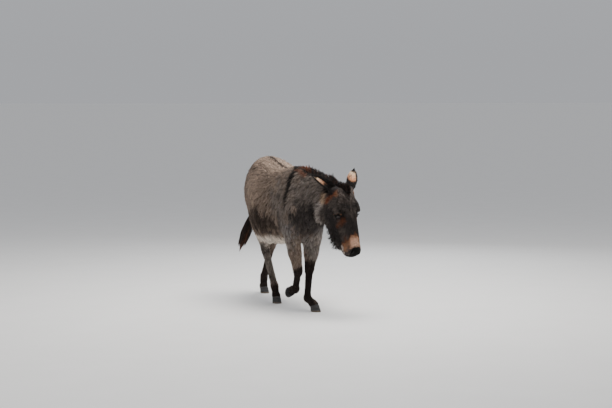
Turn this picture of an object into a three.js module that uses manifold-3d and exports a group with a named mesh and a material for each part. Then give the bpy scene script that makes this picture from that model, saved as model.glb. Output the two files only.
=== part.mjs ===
// A life-size donkey in its winter coat, caught in a slow walk: the left forefoot and both hind feet
// are on the ground, the right forefoot is lifted and the head hangs low, turned a little to the left.
// It is a still model, so nothing on it moves.
//
// Millimetres, +X forward (the way the trunk points), +Y to the animal's left, +Z up. While it is
// modelled the ground is Z = 0 and X = Y = 0 lies under the withers. At the end the whole animal is
// shifted so that its origin is the middle of the bottom of its bounding box.
//
// The flesh is one smooth field: ellipsoids, tapered limbs and lofts stand for the muscles and bones,
// and a soft minimum melts them together. Each part of the body is the surface of that one field inside
// its own turned box of cells, cut from its neighbours along thin planes.
import * as THREE from "three";
import { mergeVertices } from "three/addons/utils/BufferGeometryUtils.js";
import Module from "manifold-3d";

const wasm = await Module();
wasm.setup();

// ---------------------------------------------------------------- driving dimensions (mm, degrees)
const GAP = 0.6; // width of the thin cuts that part the body
const CLEARANCE = 1.2; // between the body and what stands on it: ears and mane
const EYE_RADIUS = 18;
const HEAD_LENGTH = 505;
const HEAD_PITCH = 72; // the face hangs this far below level
const HEAD_YAW = 17; // to the animal's left
const POLL = [494, 188, 940];
const NECK_START = [30, 5, 868];
const NECK_END = [436, 160, 842];
const EAR_LENGTH = 240;
const EAR_WALL = 5.5;
const HOOF_HEIGHT = 52;
const HOOF_LENGTH = 92;
const HOOF_WIDTH = 74;

// Joints of each leg, from the trunk down, then the middle of the hoof's sole and the angles that turn
// the hoof: pitch tips the toe down, yaw turns it to the left. bulk scales the forearm's muscle, which
// is tense in the leg that bears weight and slack in the lifted one.
const LEGS = {
  fore_left: {
    front: true,
    side: 1,
    bulk: 1.08,
    shoulder: [112, 124, 740],
    elbow: [40, 112, 615],
    knee: [68, 68, 306],
    fetlock: [106, 38, 92],
    sole: [202, 68, 0],
    pitch: 0,
    yaw: 18,
  },
  fore_right: {
    front: true,
    side: -1,
    bulk: 0.9,
    shoulder: [128, -112, 745],
    elbow: [88, -88, 614],
    knee: [178, -66, 310],
    fetlock: [48, -34, 158],
    sole: [-62, -50, 124],
    pitch: 92,
    yaw: 12,
  },
  hind_left: {
    front: false,
    side: 1,
    hip: [-690, 80, 880],
    stifle: [-590, 116, 655],
    hock: [-872, 98, 398],
    fetlock: [-1000, 80, 138],
    sole: [-972, 76, 0],
    pitch: 0,
    yaw: 6,
  },
  hind_right: {
    front: false,
    side: -1,
    hip: [-680, -80, 880],
    stifle: [-486, -110, 672],
    hock: [-540, -70, 404],
    fetlock: [-404, -44, 136],
    sole: [-350, -42, 0],
    pitch: 0,
    yaw: -4,
  },
};

const COAT = 0x6f6359;
const LEG_COAT = 0x6b6460;
const DARK_COAT = 0x2a2220;
const HORN = 0x4c4a4c;
const EAR_COAT = 0x4a3c34;
const EYE = 0x120c0a;

// ---------------------------------------------------------------- fields
const vec = (a) => new THREE.Vector3(...a);

const softMin = (a, b, k) => {
  const h = Math.max(k - Math.abs(a - b), 0) / k;
  return Math.min(a, b) - (h * h * k) / 4;
};

// An egg of three half-axes, turned by an XYZ Euler angle in degrees.
function ellipsoid(centre, radii, turn = [0, 0, 0]) {
  const c = vec(centre);
  const r = vec(radii);
  const q = new THREE.Quaternion()
    .setFromEuler(new THREE.Euler(...turn.map(THREE.MathUtils.degToRad)))
    .invert();
  const p = new THREE.Vector3();
  return {
    centre: c,
    reach: Math.max(...radii),
    at(x, y, z) {
      p.set(x - c.x, y - c.y, z - c.z).applyQuaternion(q);
      const k0 = Math.hypot(p.x / r.x, p.y / r.y, p.z / r.z);
      const k1 = Math.hypot(p.x / (r.x * r.x), p.y / (r.y * r.y), p.z / (r.z * r.z));
      return k1 < 1e-9 ? -Math.min(...radii) : (k0 * (k0 - 1)) / k1;
    },
  };
}

// A tapered limb between two joints: two balls and the cone that touches both. squash below 1 makes it
// narrower from side to side than from front to back.
function limb(from, to, radiusFrom, radiusTo, squash = 1) {
  const a = vec(from);
  const b = vec(to);
  const middle = a.clone().lerp(b, 0.5);
  const flat = (v) => v.clone().setY(v.y / squash);
  const A = flat(a);
  const axis = flat(b).sub(A);
  const length2 = axis.lengthSq();
  const taper = radiusFrom - radiusTo;
  const a2 = length2 - taper * taper;
  return {
    centre: middle,
    reach: a.distanceTo(b) / 2 + Math.max(radiusFrom, radiusTo),
    at(x, y, z) {
      const px = x - A.x;
      const py = y / squash - A.y;
      const pz = z - A.z;
      const t = px * axis.x + py * axis.y + pz * axis.z;
      const z1 = t - length2;
      const sx = px * length2 - axis.x * t;
      const sy = py * length2 - axis.y * t;
      const sz = pz * length2 - axis.z * t;
      const x2 = sx * sx + sy * sy + sz * sz;
      const y2 = t * t * length2;
      const z2 = z1 * z1 * length2;
      const k = Math.sign(taper) * taper * taper * x2;
      let d;
      if (Math.sign(z1) * a2 * z2 > k) d = Math.sqrt(x2 + z2) / length2 - radiusTo;
      else if (Math.sign(t) * a2 * y2 < k) d = Math.sqrt(x2 + y2) / length2 - radiusFrom;
      else d = (Math.sqrt((x2 * a2) / length2) + t * taper) / length2 - radiusFrom;
      return d * squash;
    },
  };
}

// Smooth value of column c of a table of stations at s, held constant past both ends.
function along(stations, s, c) {
  const last = stations.length - 1;
  if (s <= stations[0][0]) return stations[0][c];
  if (s >= stations[last][0]) return stations[last][c];
  let i = 0;
  while (s > stations[i + 1][0]) i++;
  const [p0, p1, p2, p3] = [i - 1, i, i + 1, i + 2].map(
    (n) => stations[THREE.MathUtils.clamp(n, 0, last)],
  );
  const span = p2[0] - p1[0];
  const u = (s - p1[0]) / span;
  const slope = (m, n) => (n[0] > m[0] ? (n[c] - m[c]) / (n[0] - m[0]) : 0);
  const m1 = slope(p0, p2) * span;
  const m2 = slope(p1, p3) * span;
  const u2 = u * u;
  const u3 = u2 * u;
  return (
    (2 * u3 - 3 * u2 + 1) * p1[c] + (u3 - 2 * u2 + u) * m1 + (3 * u2 - 2 * u3) * p2[c] + (u3 - u2) * m2
  );
}

// A loft along the X axis of its own frame. Each station is [s, top, bottom, half width, fullness]:
// fullness 2 is an ellipse, and more is boxier. The ends are rounded off over their own radius.
function loft(frame, stations) {
  const back = frame.clone().invert();
  const first = stations[0][0];
  const end = stations[stations.length - 1][0];
  const middle = new THREE.Vector3((first + end) / 2, 0, 0);
  middle.z = (along(stations, middle.x, 1) + along(stations, middle.x, 2)) / 2;
  const reach = Math.hypot(
    (end - first) / 2,
    Math.max(...stations.map((t) => Math.max(Math.abs(t[1] - middle.z), Math.abs(t[2] - middle.z)))),
    Math.max(...stations.map((t) => t[3])),
  );
  const p = new THREE.Vector3();
  return {
    centre: middle.applyMatrix4(frame),
    reach,
    at(x, y, z) {
      p.set(x, y, z).applyMatrix4(back);
      const s = THREE.MathUtils.clamp(p.x, first, end);
      const top = along(stations, s, 1);
      const bottom = along(stations, s, 2);
      const halfHeight = (top - bottom) / 2;
      const halfWidth = along(stations, s, 3);
      const n = along(stations, s, 4);
      const v = Math.abs(p.z - (top + bottom) / 2) / halfHeight + 1e-6;
      const w = Math.abs(p.y) / halfWidth + 1e-6;
      const g = Math.pow(Math.pow(v, n) + Math.pow(w, n), 1 / n);
      const scale = Math.pow(g, 1 - n);
      const slope =
        scale * Math.hypot(Math.pow(v, n - 1) / halfHeight, Math.pow(w, n - 1) / halfWidth);
      const side = (g - 1) / slope;
      const past = Math.abs(p.x - s);
      return past > 0 ? Math.hypot(past, Math.max(side, 0)) + Math.min(side, 0) * 0.2 : side;
    },
  };
}

// Melts fields together. Those too far off to matter at a point are passed over.
function melt(blend, ...fields) {
  const centre = new THREE.Vector3();
  fields.forEach((f) => centre.addScaledVector(f.centre, 1 / fields.length));
  const reach = Math.max(...fields.map((f) => f.centre.distanceTo(centre) + f.reach));
  return {
    centre,
    reach: reach + blend,
    at(x, y, z) {
      let d = 1e6;
      for (const f of fields) {
        const near = Math.hypot(x - f.centre.x, y - f.centre.y, z - f.centre.z) - f.reach;
        if (near < d + blend) d = d > 1e5 ? f.at(x, y, z) : softMin(d, f.at(x, y, z), blend);
      }
      return d;
    },
  };
}

const lerp = (a, b, t, lift = [0, 0, 0]) => a.map((v, i) => v + (b[i] - v) * t + lift[i]);
const shifted = (a, by) => a.map((v, i) => v + by[i]);

// ---------------------------------------------------------------- frames of the head and neck
// A frame whose X runs along `forward` and whose Z leans towards `up`.
function frameAt(origin, forward, up) {
  const x = forward.clone().normalize();
  const y = new THREE.Vector3().crossVectors(up, x).normalize();
  const z = new THREE.Vector3().crossVectors(x, y);
  return new THREE.Matrix4().makeBasis(x, y, z).setPosition(origin);
}

const pitch = THREE.MathUtils.degToRad(HEAD_PITCH);
const headYaw = THREE.MathUtils.degToRad(HEAD_YAW);
const FACE_DOWN = new THREE.Vector3(
  Math.cos(pitch) * Math.cos(headYaw),
  Math.cos(pitch) * Math.sin(headYaw),
  -Math.sin(pitch),
);
const HEAD_FRAME = frameAt(vec(POLL), FACE_DOWN, new THREE.Vector3(0, 0, 1));
const NECK_FRAME = frameAt(
  vec(NECK_START),
  vec(NECK_END).sub(vec(NECK_START)),
  new THREE.Vector3(0, 0, 1),
);
const NECK_LENGTH = vec(NECK_END).distanceTo(vec(NECK_START));
const inHead = (s, w, v) => new THREE.Vector3(s, w, v).applyMatrix4(HEAD_FRAME).toArray();
const inNeck = (s, w, v) => new THREE.Vector3(s, w, v).applyMatrix4(NECK_FRAME).toArray();

// ---------------------------------------------------------------- the trunk
const TRUNK_STATIONS = [
  [-868, 950, 800, 60, 2],
  [-835, 1042, 745, 96, 2],
  [-770, 1108, 660, 132, 2.1],
  [-660, 1146, 560, 172, 2.2],
  [-530, 1126, 490, 218, 2.25],
  [-390, 1086, 466, 262, 2.3],
  [-240, 1060, 476, 268, 2.25],
  [-110, 1060, 500, 226, 2.15],
  [0, 1078, 512, 176, 2.1],
  [90, 1030, 536, 146, 2.1],
  [160, 930, 588, 122, 2.1],
  [205, 840, 660, 84, 2],
];

const trunk = melt(
  60,
  loft(new THREE.Matrix4(), TRUNK_STATIONS),
  // withers and the shoulder blades on each side of them
  ellipsoid([-20, 0, 1000], [130, 56, 76]),
  ...[1, -1].flatMap((side) => [
    ellipsoid([30, side * 96, 850], [96, 54, 200], [side * 12, 24, 0]),
    ellipsoid([90, side * 92, 730], [88, 60, 96]),
    // haunch: the wide muscle over the hip, and the buttock behind it
    ellipsoid([-620, side * 76, 900], [185, 94, 185]),
    ellipsoid([-752, side * 66, 820], [100, 70, 185]),
  ]),
);

// ---------------------------------------------------------------- the neck
const NECK_STATIONS = [
  [0, 188, -235, 118, 2],
  [130, 178, -196, 106, 2.1],
  [260, 150, -160, 94, 2.2],
  [360, 118, -140, 88, 2.2],
  [NECK_LENGTH, 88, -126, 82, 2.1],
];
const neck = melt(
  50,
  loft(NECK_FRAME, NECK_STATIONS),
  // windpipe and the muscle that runs from the jaw to the breast
  limb(inNeck(40, 0, -160), inNeck(330, 0, -92), 92, 62),
);

// ---------------------------------------------------------------- the head, in its own frame
// s runs from the poll to the lips along the face, v points out of the forehead, w to the left.
const SKULL_STATIONS = [
  [0, -4, -118, 70, 2.1],
  [50, 14, -170, 94, 2.2],
  [110, 22, -204, 106, 2.35],
  [165, 16, -204, 98, 2.35],
  [220, 8, -184, 84, 2.4],
  [290, 4, -164, 76, 2.5],
  [360, 0, -152, 71, 2.5],
  [416, -8, -142, 63, 2.4],
  [456, -18, -134, 57, 2.3],
  [480, -38, -116, 44, 2.2],
];
// The lower jaw, out to the tips of the long winter hair that hangs under it.
const JAW_STATIONS = [
  [40, -90, -200, 52, 2],
  [100, -90, -256, 70, 2],
  [165, -90, -278, 75, 2],
  [230, -90, -276, 70, 2],
  [300, -88, -260, 60, 2],
  [360, -80, -234, 50, 2],
  [405, -70, -196, 42, 2],
  [440, -70, -158, 36, 2],
];
const EYE_PLACE = [196, 79, -46]; // s, w and v of the left eye

// Each ear is a leaf rolled about its length. `tip` is the way it points, `opens` the way its
// hollow side faces and `root` the s, w and v in the head where its axis starts.
const EARS = {
  ear_left: { root: [24, 52, -34], tip: [-0.58, 0.42, 0.7], opens: [0.93, -0.3, 0.1] },
  ear_right: { root: [24, -52, -34], tip: [-0.59, -0.6, 0.54], opens: [0.3, -0.35, 0.8] },
};
const earPoint = (ear, t) => inHead(...ear.root).map((v, i) => v + ear.tip[i] * t);

const head = melt(
  32,
  loft(HEAD_FRAME, SKULL_STATIONS),
  loft(HEAD_FRAME, JAW_STATIONS),
  ...[1, -1].flatMap((side) => [
    // cheek, brow, the bony ridge under the eye, nostril and the lips' corners
    ellipsoid(inHead(160, side * 58, -130), [66, 44, 80], [0, 90 - HEAD_PITCH, 0]),
    limb(inHead(112, side * 88, -20), inHead(160, side * 100, -28), 20, 23),
    limb(inHead(205, side * 78, -74), inHead(300, side * 58, -76), 18, 13),
    ellipsoid(inHead(452, side * 38, -48), [34, 20, 24], [0, HEAD_PITCH, 0]),
  ]),
  // roots of the ears
  ...Object.values(EARS).map((ear) => limb(earPoint(ear, -6), earPoint(ear, 44), 36, 27)),
  // upper lip, lower lip and chin
  ellipsoid(inHead(462, 0, -66), [32, 42, 32]),
  ellipsoid(inHead(452, 0, -110), [34, 34, 26], [0, HEAD_PITCH, 0]),
);

// ---------------------------------------------------------------- the legs
// A hoof's own frame: X to the toe, Z up the leg, origin in the middle of the sole.
function hoofFrame({ sole, pitch: tip, yaw }) {
  const turn = new THREE.Euler(0, THREE.MathUtils.degToRad(tip), THREE.MathUtils.degToRad(yaw), "ZYX");
  return new THREE.Matrix4().makeRotationFromEuler(turn).setPosition(vec(sole));
}
const CORONET = new THREE.Vector3(-15, 0, HOOF_HEIGHT - 6); // middle of the hoof's top, in its frame
const coronetOf = (leg) => CORONET.clone().applyMatrix4(hoofFrame(leg)).toArray();

function foreleg(leg) {
  const { side, bulk, shoulder, elbow, knee, fetlock } = leg;
  return melt(
    16,
    melt(
      46,
      limb(shoulder, elbow, 80, 64, 0.8),
      limb(elbow, lerp(elbow, knee, 0.6), 66 * bulk, 50 * bulk, 0.84),
      limb(lerp(elbow, knee, 0.1, [8, 0, 0]), lerp(elbow, knee, 0.96), 59 * bulk, 39, 0.94),
      ellipsoid(shifted(elbow, [-34, side * 4, 20]), [46, 34, 54]),
    ),
    ellipsoid(knee, [43, 37, 48]),
    ...cannon(knee, fetlock, 30),
    ellipsoid(fetlock, [33, 31, 34]),
    pastern(leg),
  );
}

function hindleg(leg) {
  const { side, hip, stifle, hock, fetlock } = leg;
  return melt(
    16,
    melt(
      60,
      limb(hip, stifle, 124, 88, 0.66),
      limb(
        shifted(hip, [-60, -8 * side, -60]),
        lerp(stifle, hock, 0.42, [-36, -6 * side, 10]),
        104,
        52,
        0.66,
      ),
      limb(stifle, lerp(stifle, hock, 0.6), 82, 46, 0.78),
      limb(lerp(stifle, hock, 0.3), hock, 52, 35, 0.82),
    ),
    // hock: the joint, its bony point behind and the tendon above it
    ellipsoid(hock, [42, 33, 44]),
    limb(shifted(hock, [-34, 0, 42]), shifted(hock, [-20, 0, -30]), 21, 22, 0.8),
    limb(lerp(stifle, hock, 0.55, [-44, 0, 4]), shifted(hock, [-34, 0, 40]), 18, 16, 0.8),
    ...cannon(hock, fetlock, 32),
    ellipsoid(fetlock, [34, 31, 35]),
    pastern(leg),
  );
}

// The cannon bone, and the tendons that run down behind it.
function cannon(from, fetlock, radius) {
  return [
    limb(from, fetlock, radius, radius - 4, 0.92),
    limb(lerp(from, fetlock, 0.2, [-13, 0, -6]), lerp(from, fetlock, 0.96, [-12, 0, -4]), 20, 20, 0.8),
  ];
}

// Fetlock to hoof: it bends to stand upright in the top of the hoof, where the coronet's cut ends it.
function pastern(leg) {
  const inHoof = (x, z) => new THREE.Vector3(x, 0, z).applyMatrix4(hoofFrame(leg)).toArray();
  return melt(
    12,
    limb(leg.fetlock, inHoof(-24, HOOF_HEIGHT + 4), 27, 31, 0.94),
    limb(inHoof(-24, HOOF_HEIGHT + 4), inHoof(-12, HOOF_HEIGHT - 20), 31, 34, 0.94),
  );
}

const legFields = Object.fromEntries(
  Object.entries(LEGS).map(([name, leg]) => [name, leg.front ? foreleg(leg) : hindleg(leg)]),
);

// ---------------------------------------------------------------- the tail
const TAIL_ROOT = [-836, 0, 1000];
const TAIL_BEND = [-918, -16, 880];
const TAIL_MIDDLE = [-944, -38, 700];
const TAIL_END = [-958, -64, 560];
const SWITCH_END = [-982, -138, 352];
const tail = melt(
  30,
  limb(TAIL_ROOT, TAIL_BEND, 46, 30),
  limb(TAIL_BEND, TAIL_MIDDLE, 30, 23),
  limb(TAIL_MIDDLE, TAIL_END, 23, 22),
);

// ---------------------------------------------------------------- the whole body
const body = melt(
  55,
  melt(70, trunk, neck),
  melt(20, legFields.fore_left),
  melt(20, legFields.fore_right),
  melt(20, legFields.hind_left),
  melt(20, legFields.hind_right),
  head,
  tail,
);

// ---------------------------------------------------------------- from field to closed mesh
const CORNERS = [0, 1, 2, 3, 4, 5, 6, 7].map((n) => [n & 1, (n >> 1) & 1, (n >> 2) & 1]);
const EDGES = [];
const ACROSS = [
  [1, 2],
  [2, 0],
  [0, 1],
];
CORNERS.forEach((a, i) =>
  CORNERS.forEach((b, j) => {
    if (i < j && a.reduce((n, v, k) => n + Math.abs(v - b[k]), 0) === 1) EDGES.push([i, j]);
  }),
);

// The surface where the field is zero, inside a turned box of cells: one vertex for each cell that the
// surface crosses, moved onto it, and one quad for each grid edge that it crosses. It is closed off
// where it leaves the box.
function surfaceOf(field, frame, low, high, cell) {
  const count = low.map((l, i) => Math.ceil((high[i] - l) / cell[i]) + 1);
  const step = low.map((l, i) => (high[i] - l) / (count[i] - 1));
  const index = (i, j, k) => (k * count[1] + j) * count[0] + i;
  const p = new THREE.Vector3();
  const at = (x, y, z) => {
    p.set(x, y, z).applyMatrix4(frame);
    return field.at(p.x, p.y, p.z);
  };
  const values = new Float64Array(count[0] * count[1] * count[2]);
  for (let k = 0; k < count[2]; k++)
    for (let j = 0; j < count[1]; j++)
      for (let i = 0; i < count[0]; i++) {
        const rim = [i, j, k].some((n, a) => n === 0 || n === count[a] - 1);
        const v = at(low[0] + i * step[0], low[1] + j * step[1], low[2] + k * step[2]);
        values[index(i, j, k)] = rim ? Math.max(Math.abs(v), 0.3 * step[0]) : v || 1e-6;
      }

  settle(values, count, index);

  const vertexOf = new Map();
  const places = [];
  for (let k = 0; k + 1 < count[2]; k++)
    for (let j = 0; j + 1 < count[1]; j++)
      for (let i = 0; i + 1 < count[0]; i++) {
        const sum = [0, 0, 0];
        let crossings = 0;
        for (const [a, b] of EDGES) {
          const [ca, cb] = [CORNERS[a], CORNERS[b]];
          const va = values[index(i + ca[0], j + ca[1], k + ca[2])];
          const vb = values[index(i + cb[0], j + cb[1], k + cb[2])];
          if (va < 0 === vb < 0) continue;
          const t = va / (va - vb);
          ca.forEach((c, n) => (sum[n] += c + (cb[n] - c) * t));
          crossings++;
        }
        if (!crossings) continue;
        const place = [i, j, k].map((n, a) => low[a] + (n + sum[a] / crossings) * step[a]);
        const inner = [i, j, k].every((n, a) => n > 0 && n + 2 < count[a]);
        vertexOf.set(index(i, j, k), places.length);
        places.push(inner ? ontoSurface(at, place, Math.min(...step) * 0.6) : place);
      }

  // Two squares can share both their far corners, and then only one of them is split along that line.
  const triangles = [];
  const diagonals = new Set();
  const gap = (a, b) => Math.hypot(...places[a].map((v, n) => v - places[b][n]));
  for (let k = 0; k < count[2]; k++)
    for (let j = 0; j < count[1]; j++)
      for (let i = 0; i < count[0]; i++) {
        const here = [i, j, k];
        for (let a = 0; a < 3; a++) {
          const next = here.map((n, m) => (m === a ? n + 1 : n));
          if (next[a] >= count[a]) continue;
          const inside = values[index(...here)] < 0;
          if (inside === values[index(...next)] < 0) continue;
          const [u, v] = ACROSS[a];
          const quad = [
            [0, 0],
            [-1, 0],
            [-1, -1],
            [0, -1],
          ].map(([du, dv]) => {
            const c = [...here];
            c[u] += du;
            c[v] += dv;
            return vertexOf.get(index(...c));
          });
          if (!inside) quad.reverse();
          const [q0, q1, q2, q3] = quad;
          const first = [q0, q2].sort().join();
          const second = [q1, q3].sort().join();
          const shorter = gap(q0, q2) < gap(q1, q3);
          const takeFirst = diagonals.has(second) || (shorter && !diagonals.has(first));
          diagonals.add(takeFirst ? first : second);
          if (takeFirst) triangles.push(q0, q1, q2, q0, q2, q3);
          else triangles.push(q1, q2, q3, q1, q3, q0);
        }
      }

  const vertices = new Float32Array(places.length * 3);
  places.forEach((v, n) => p.set(...v).applyMatrix4(frame).toArray(vertices, n * 3));
  return solidFrom(vertices, new Uint32Array(triangles));
}

// Flips the faintest corner of each grid square whose far corners agree against the other two, as
// four faces would meet along one edge there.
function settle(values, count, index) {
  const corners = [
    [0, 0],
    [1, 0],
    [1, 1],
    [0, 1],
  ];
  for (let turn = 0, flips = 1; flips > 0 && turn < 8; turn++) {
    flips = 0;
    for (let k = 0; k + 1 < count[2]; k++)
      for (let j = 0; j + 1 < count[1]; j++)
        for (let i = 0; i + 1 < count[0]; i++)
          for (const [u, v] of ACROSS) {
            const square = corners.map(([du, dv]) => {
              const c = [i, j, k];
              c[u] += du;
              c[v] += dv;
              return index(...c);
            });
            const [s0, s1, s2, s3] = square.map((n) => values[n] < 0);
            if (s0 !== s2 || s1 !== s3 || s0 === s1) continue;
            square.sort((a, b) => Math.abs(values[a]) - Math.abs(values[b]));
            values[square[0]] *= -1;
            flips++;
          }
  }
}

// Walks a point down the slope of the field until it lies on the surface, no further than `most`.
function ontoSurface(at, start, most) {
  const q = [...start];
  const e = 0.5;
  for (let turn = 0; turn < 3; turn++) {
    const d = at(...q);
    const slope = [0, 1, 2].map((a) => {
      const ahead = [...q];
      const behind = [...q];
      ahead[a] += e;
      behind[a] -= e;
      return (at(...ahead) - at(...behind)) / (2 * e);
    });
    const steep = Math.max(Math.hypot(...slope), 0.3);
    slope.forEach((g, a) => (q[a] -= (d * g) / (steep * steep)));
  }
  const moved = Math.hypot(...q.map((v, a) => v - start[a]));
  const share = moved > most ? most / moved : 1;
  return start.map((v, a) => v + (q[a] - v) * share);
}

function solidFrom(vertProperties, triVerts) {
  return new wasm.Manifold(new wasm.Mesh({ numProp: 3, vertProperties, triVerts }));
}

function solidOf(geometry) {
  const bare = geometry.clone();
  bare.deleteAttribute("normal");
  bare.deleteAttribute("uv");
  const merged = mergeVertices(bare, 1e-3);
  return solidFrom(merged.attributes.position.array, new Uint32Array(merged.index.array));
}

function geometryOf(solid) {
  const { vertProperties, triVerts, numProp } = solid.getMesh();
  const position = new Float32Array((vertProperties.length / numProp) * 3);
  for (let i = 0; i < position.length / 3; i++)
    for (let a = 0; a < 3; a++) position[i * 3 + a] = vertProperties[i * numProp + a];
  const g = new THREE.BufferGeometry();
  g.setAttribute("position", new THREE.BufferAttribute(position, 3));
  g.setIndex(new THREE.BufferAttribute(new Uint32Array(triVerts), 1));
  const flat = g.toNonIndexed();
  flat.computeVertexNormals();
  return flat;
}

// The biggest piece, without the crumbs that a cut can leave.
function whole(solid) {
  const pieces = solid.decompose();
  return pieces.reduce((best, s) => (s.volume() > best.volume() ? s : best));
}

// ---------------------------------------------------------------- cuts
// Keeps the part of a solid that lies on one side of a plane, half the gap away from it.
function keepBeyond(solid, point, keep, gap = GAP) {
  const n = keep.clone().normalize();
  return solid.trimByPlane(n.toArray(), n.dot(point) + gap / 2);
}
const flipped = (v) => v.clone().negate();

const headSide = new THREE.Vector3(0.826, 0.25, -0.504);
const HEAD_CUT = new THREE.Vector3(400, 150, 892);
const neckSide = new THREE.Vector3(0.9, 0.12, 0.3);
const NECK_CUT = new THREE.Vector3(96, 20, 850);
const tailSide = new THREE.Vector3(-0.86, -0.05, 0.1);
const TAIL_CUT = new THREE.Vector3(-893, 0, 900);

// The space that holds one leg: an upright block, x and y its sides, below a slanted plane.
const LEG_CUTS = {
  fore_left: { point: [40, 120, 530], up: [-0.22, -0.25, 1], x: [-76, 156], y: [26, 214] },
  fore_right: { point: [96, -105, 528], up: [-0.3, 0.25, 1], x: [-24, 236], y: [-190, -24] },
  hind_left: { point: [-700, 130, 584], up: [0.42, -0.25, 1], x: [-965, -500], y: [36, 230] },
  hind_right: { point: [-560, -128, 546], up: [0.38, 0.25, 1], x: [-718, -395], y: [-228, -34] },
};
function legSpace({ point, up, x, y }, grow = 0) {
  const HEIGHT = 800;
  const block = new THREE.BoxGeometry(x[1] - x[0] + grow, y[1] - y[0] + grow, HEIGHT);
  block.translate((x[0] + x[1]) / 2, (y[0] + y[1]) / 2, HEIGHT / 2 - 60);
  return keepBeyond(solidOf(block), vec(point), flipped(vec(up)), -2 * grow);
}

// The gap between the forelegs, up to the underside of the chest.
function betweenForelegs() {
  const [from, to] = [LEG_CUTS.fore_right, LEG_CUTS.fore_left];
  const block = new THREE.BoxGeometry(290, to.y[0] - from.y[1], 500);
  return solidOf(block.translate(90, (to.y[0] + from.y[1]) / 2, 252));
}

// ---------------------------------------------------------------- building the nodes
const donkey = new THREE.Group();
donkey.name = "donkey";

function add(name, solid, color, roughness = 0.9, metalness = 0) {
  const material = new THREE.MeshStandardMaterial({ color, roughness, metalness });
  const mesh = new THREE.Mesh(geometryOf(solid), material);
  mesh.name = name;
  donkey.add(mesh);
  return mesh;
}

const UPRIGHT = new THREE.Matrix4();
const HEAD_BOX = [HEAD_FRAME, [-90, -150, -320], [HEAD_LENGTH + 20, 150, 80], [27, 25, 27]];
const NECK_BOX = [NECK_FRAME, [-150, -270, -420], [520, 270, 260], [50, 42, 48]];

// The same solid with every vertex moved out, along the sum of its triangles' directions.
function swollen(solid, by) {
  const shell = mergeVertices(geometryOf(solid).deleteAttribute("normal"), 1e-3);
  const { array } = shell.attributes.position;
  const index = shell.index.array;
  const out = new Float64Array(array.length);
  const triangle = new THREE.Triangle();
  const n = new THREE.Vector3();
  for (let i = 0; i < index.length; i += 3) {
    triangle.setFromAttributeAndIndices(shell.attributes.position, index[i], index[i + 1], index[i + 2]);
    triangle.getNormal(n);
    for (let c = 0; c < 3; c++) n.toArray().forEach((v, a) => (out[index[i + c] * 3 + a] += v));
  }
  const moved = array.map((v, i) => {
    const first = i - (i % 3);
    return v + (by * out[i]) / Math.hypot(out[first], out[first + 1], out[first + 2]);
  });
  return solidFrom(moved, new Uint32Array(index));
}

// Eyes, and the sockets that they sit in.
const eyeBall = (side, radius) =>
  solidOf(
    new THREE.SphereGeometry(radius, 12, 8).translate(
      ...inHead(EYE_PLACE[0], side * EYE_PLACE[1], EYE_PLACE[2]),
    ),
  );

function buildHead() {
  let solid = keepBeyond(surfaceOf(melt(40, head, neck), ...HEAD_BOX), HEAD_CUT, headSide);
  for (const side of [1, -1]) solid = solid.subtract(eyeBall(side, EYE_RADIUS + GAP / 2));
  return whole(solid);
}

function buildNeck() {
  const found = surfaceOf(body, ...NECK_BOX);
  return whole(keepBeyond(keepBeyond(found, HEAD_CUT, flipped(headSide)), NECK_CUT, neckSide));
}

function buildTrunk() {
  const found = surfaceOf(body, UPRIGHT, [-1010, -350, 400], [330, 350, 1200], [70, 53, 55]);
  let solid = keepBeyond(found, NECK_CUT, flipped(neckSide));
  for (const cut of Object.values(LEG_CUTS)) solid = solid.subtract(legSpace(cut, GAP));
  solid = solid.subtract(betweenForelegs());
  return whole(keepBeyond(solid, TAIL_CUT, flipped(tailSide)));
}

// A leg from the trunk to just below its knee or hock, and the same leg from there to the hoof.
function buildLeg(name) {
  const leg = LEGS[name];
  const bend = vec(leg.front ? leg.knee : leg.hock);
  const down = vec(leg.fetlock).sub(bend).normalize();
  const cut = bend.clone().addScaledVector(down, 50);
  const { point, x, y } = LEG_CUTS[name];
  const upper = surfaceOf(
    body,
    UPRIGHT,
    [x[0] - 20, y[0] - 20, bend.z - 110],
    [x[1] + 20, y[1] + 20, point[2] + 190],
    [33, 30, 37],
  );
  add(
    `${name}_upper`,
    whole(keepBeyond(upper.intersect(legSpace(LEG_CUTS[name])), cut, flipped(down))),
    LEG_COAT,
  );

  const joints = [cut, vec(leg.fetlock), vec(leg.sole)];
  const low = new THREE.Vector3(Infinity, Infinity, Infinity);
  const high = flipped(low);
  joints.forEach((j) => {
    low.min(j);
    high.max(j);
  });
  const lower = surfaceOf(
    legFields[name],
    UPRIGHT,
    low.addScalar(-64).toArray(),
    high.addScalar(64).toArray(),
    [21, 21, 36],
  );
  const hoof = hoofFrame(leg);
  const up = new THREE.Vector3(-0.3, 0, 0.95).transformDirection(hoof);
  add(
    `${name}_lower`,
    whole(keepBeyond(keepBeyond(lower, cut, down), vec(coronetOf(leg)), up)),
    LEG_COAT,
  );
  add(`${name}_hoof`, buildHoof(leg), HORN, 0.6);
}

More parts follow.
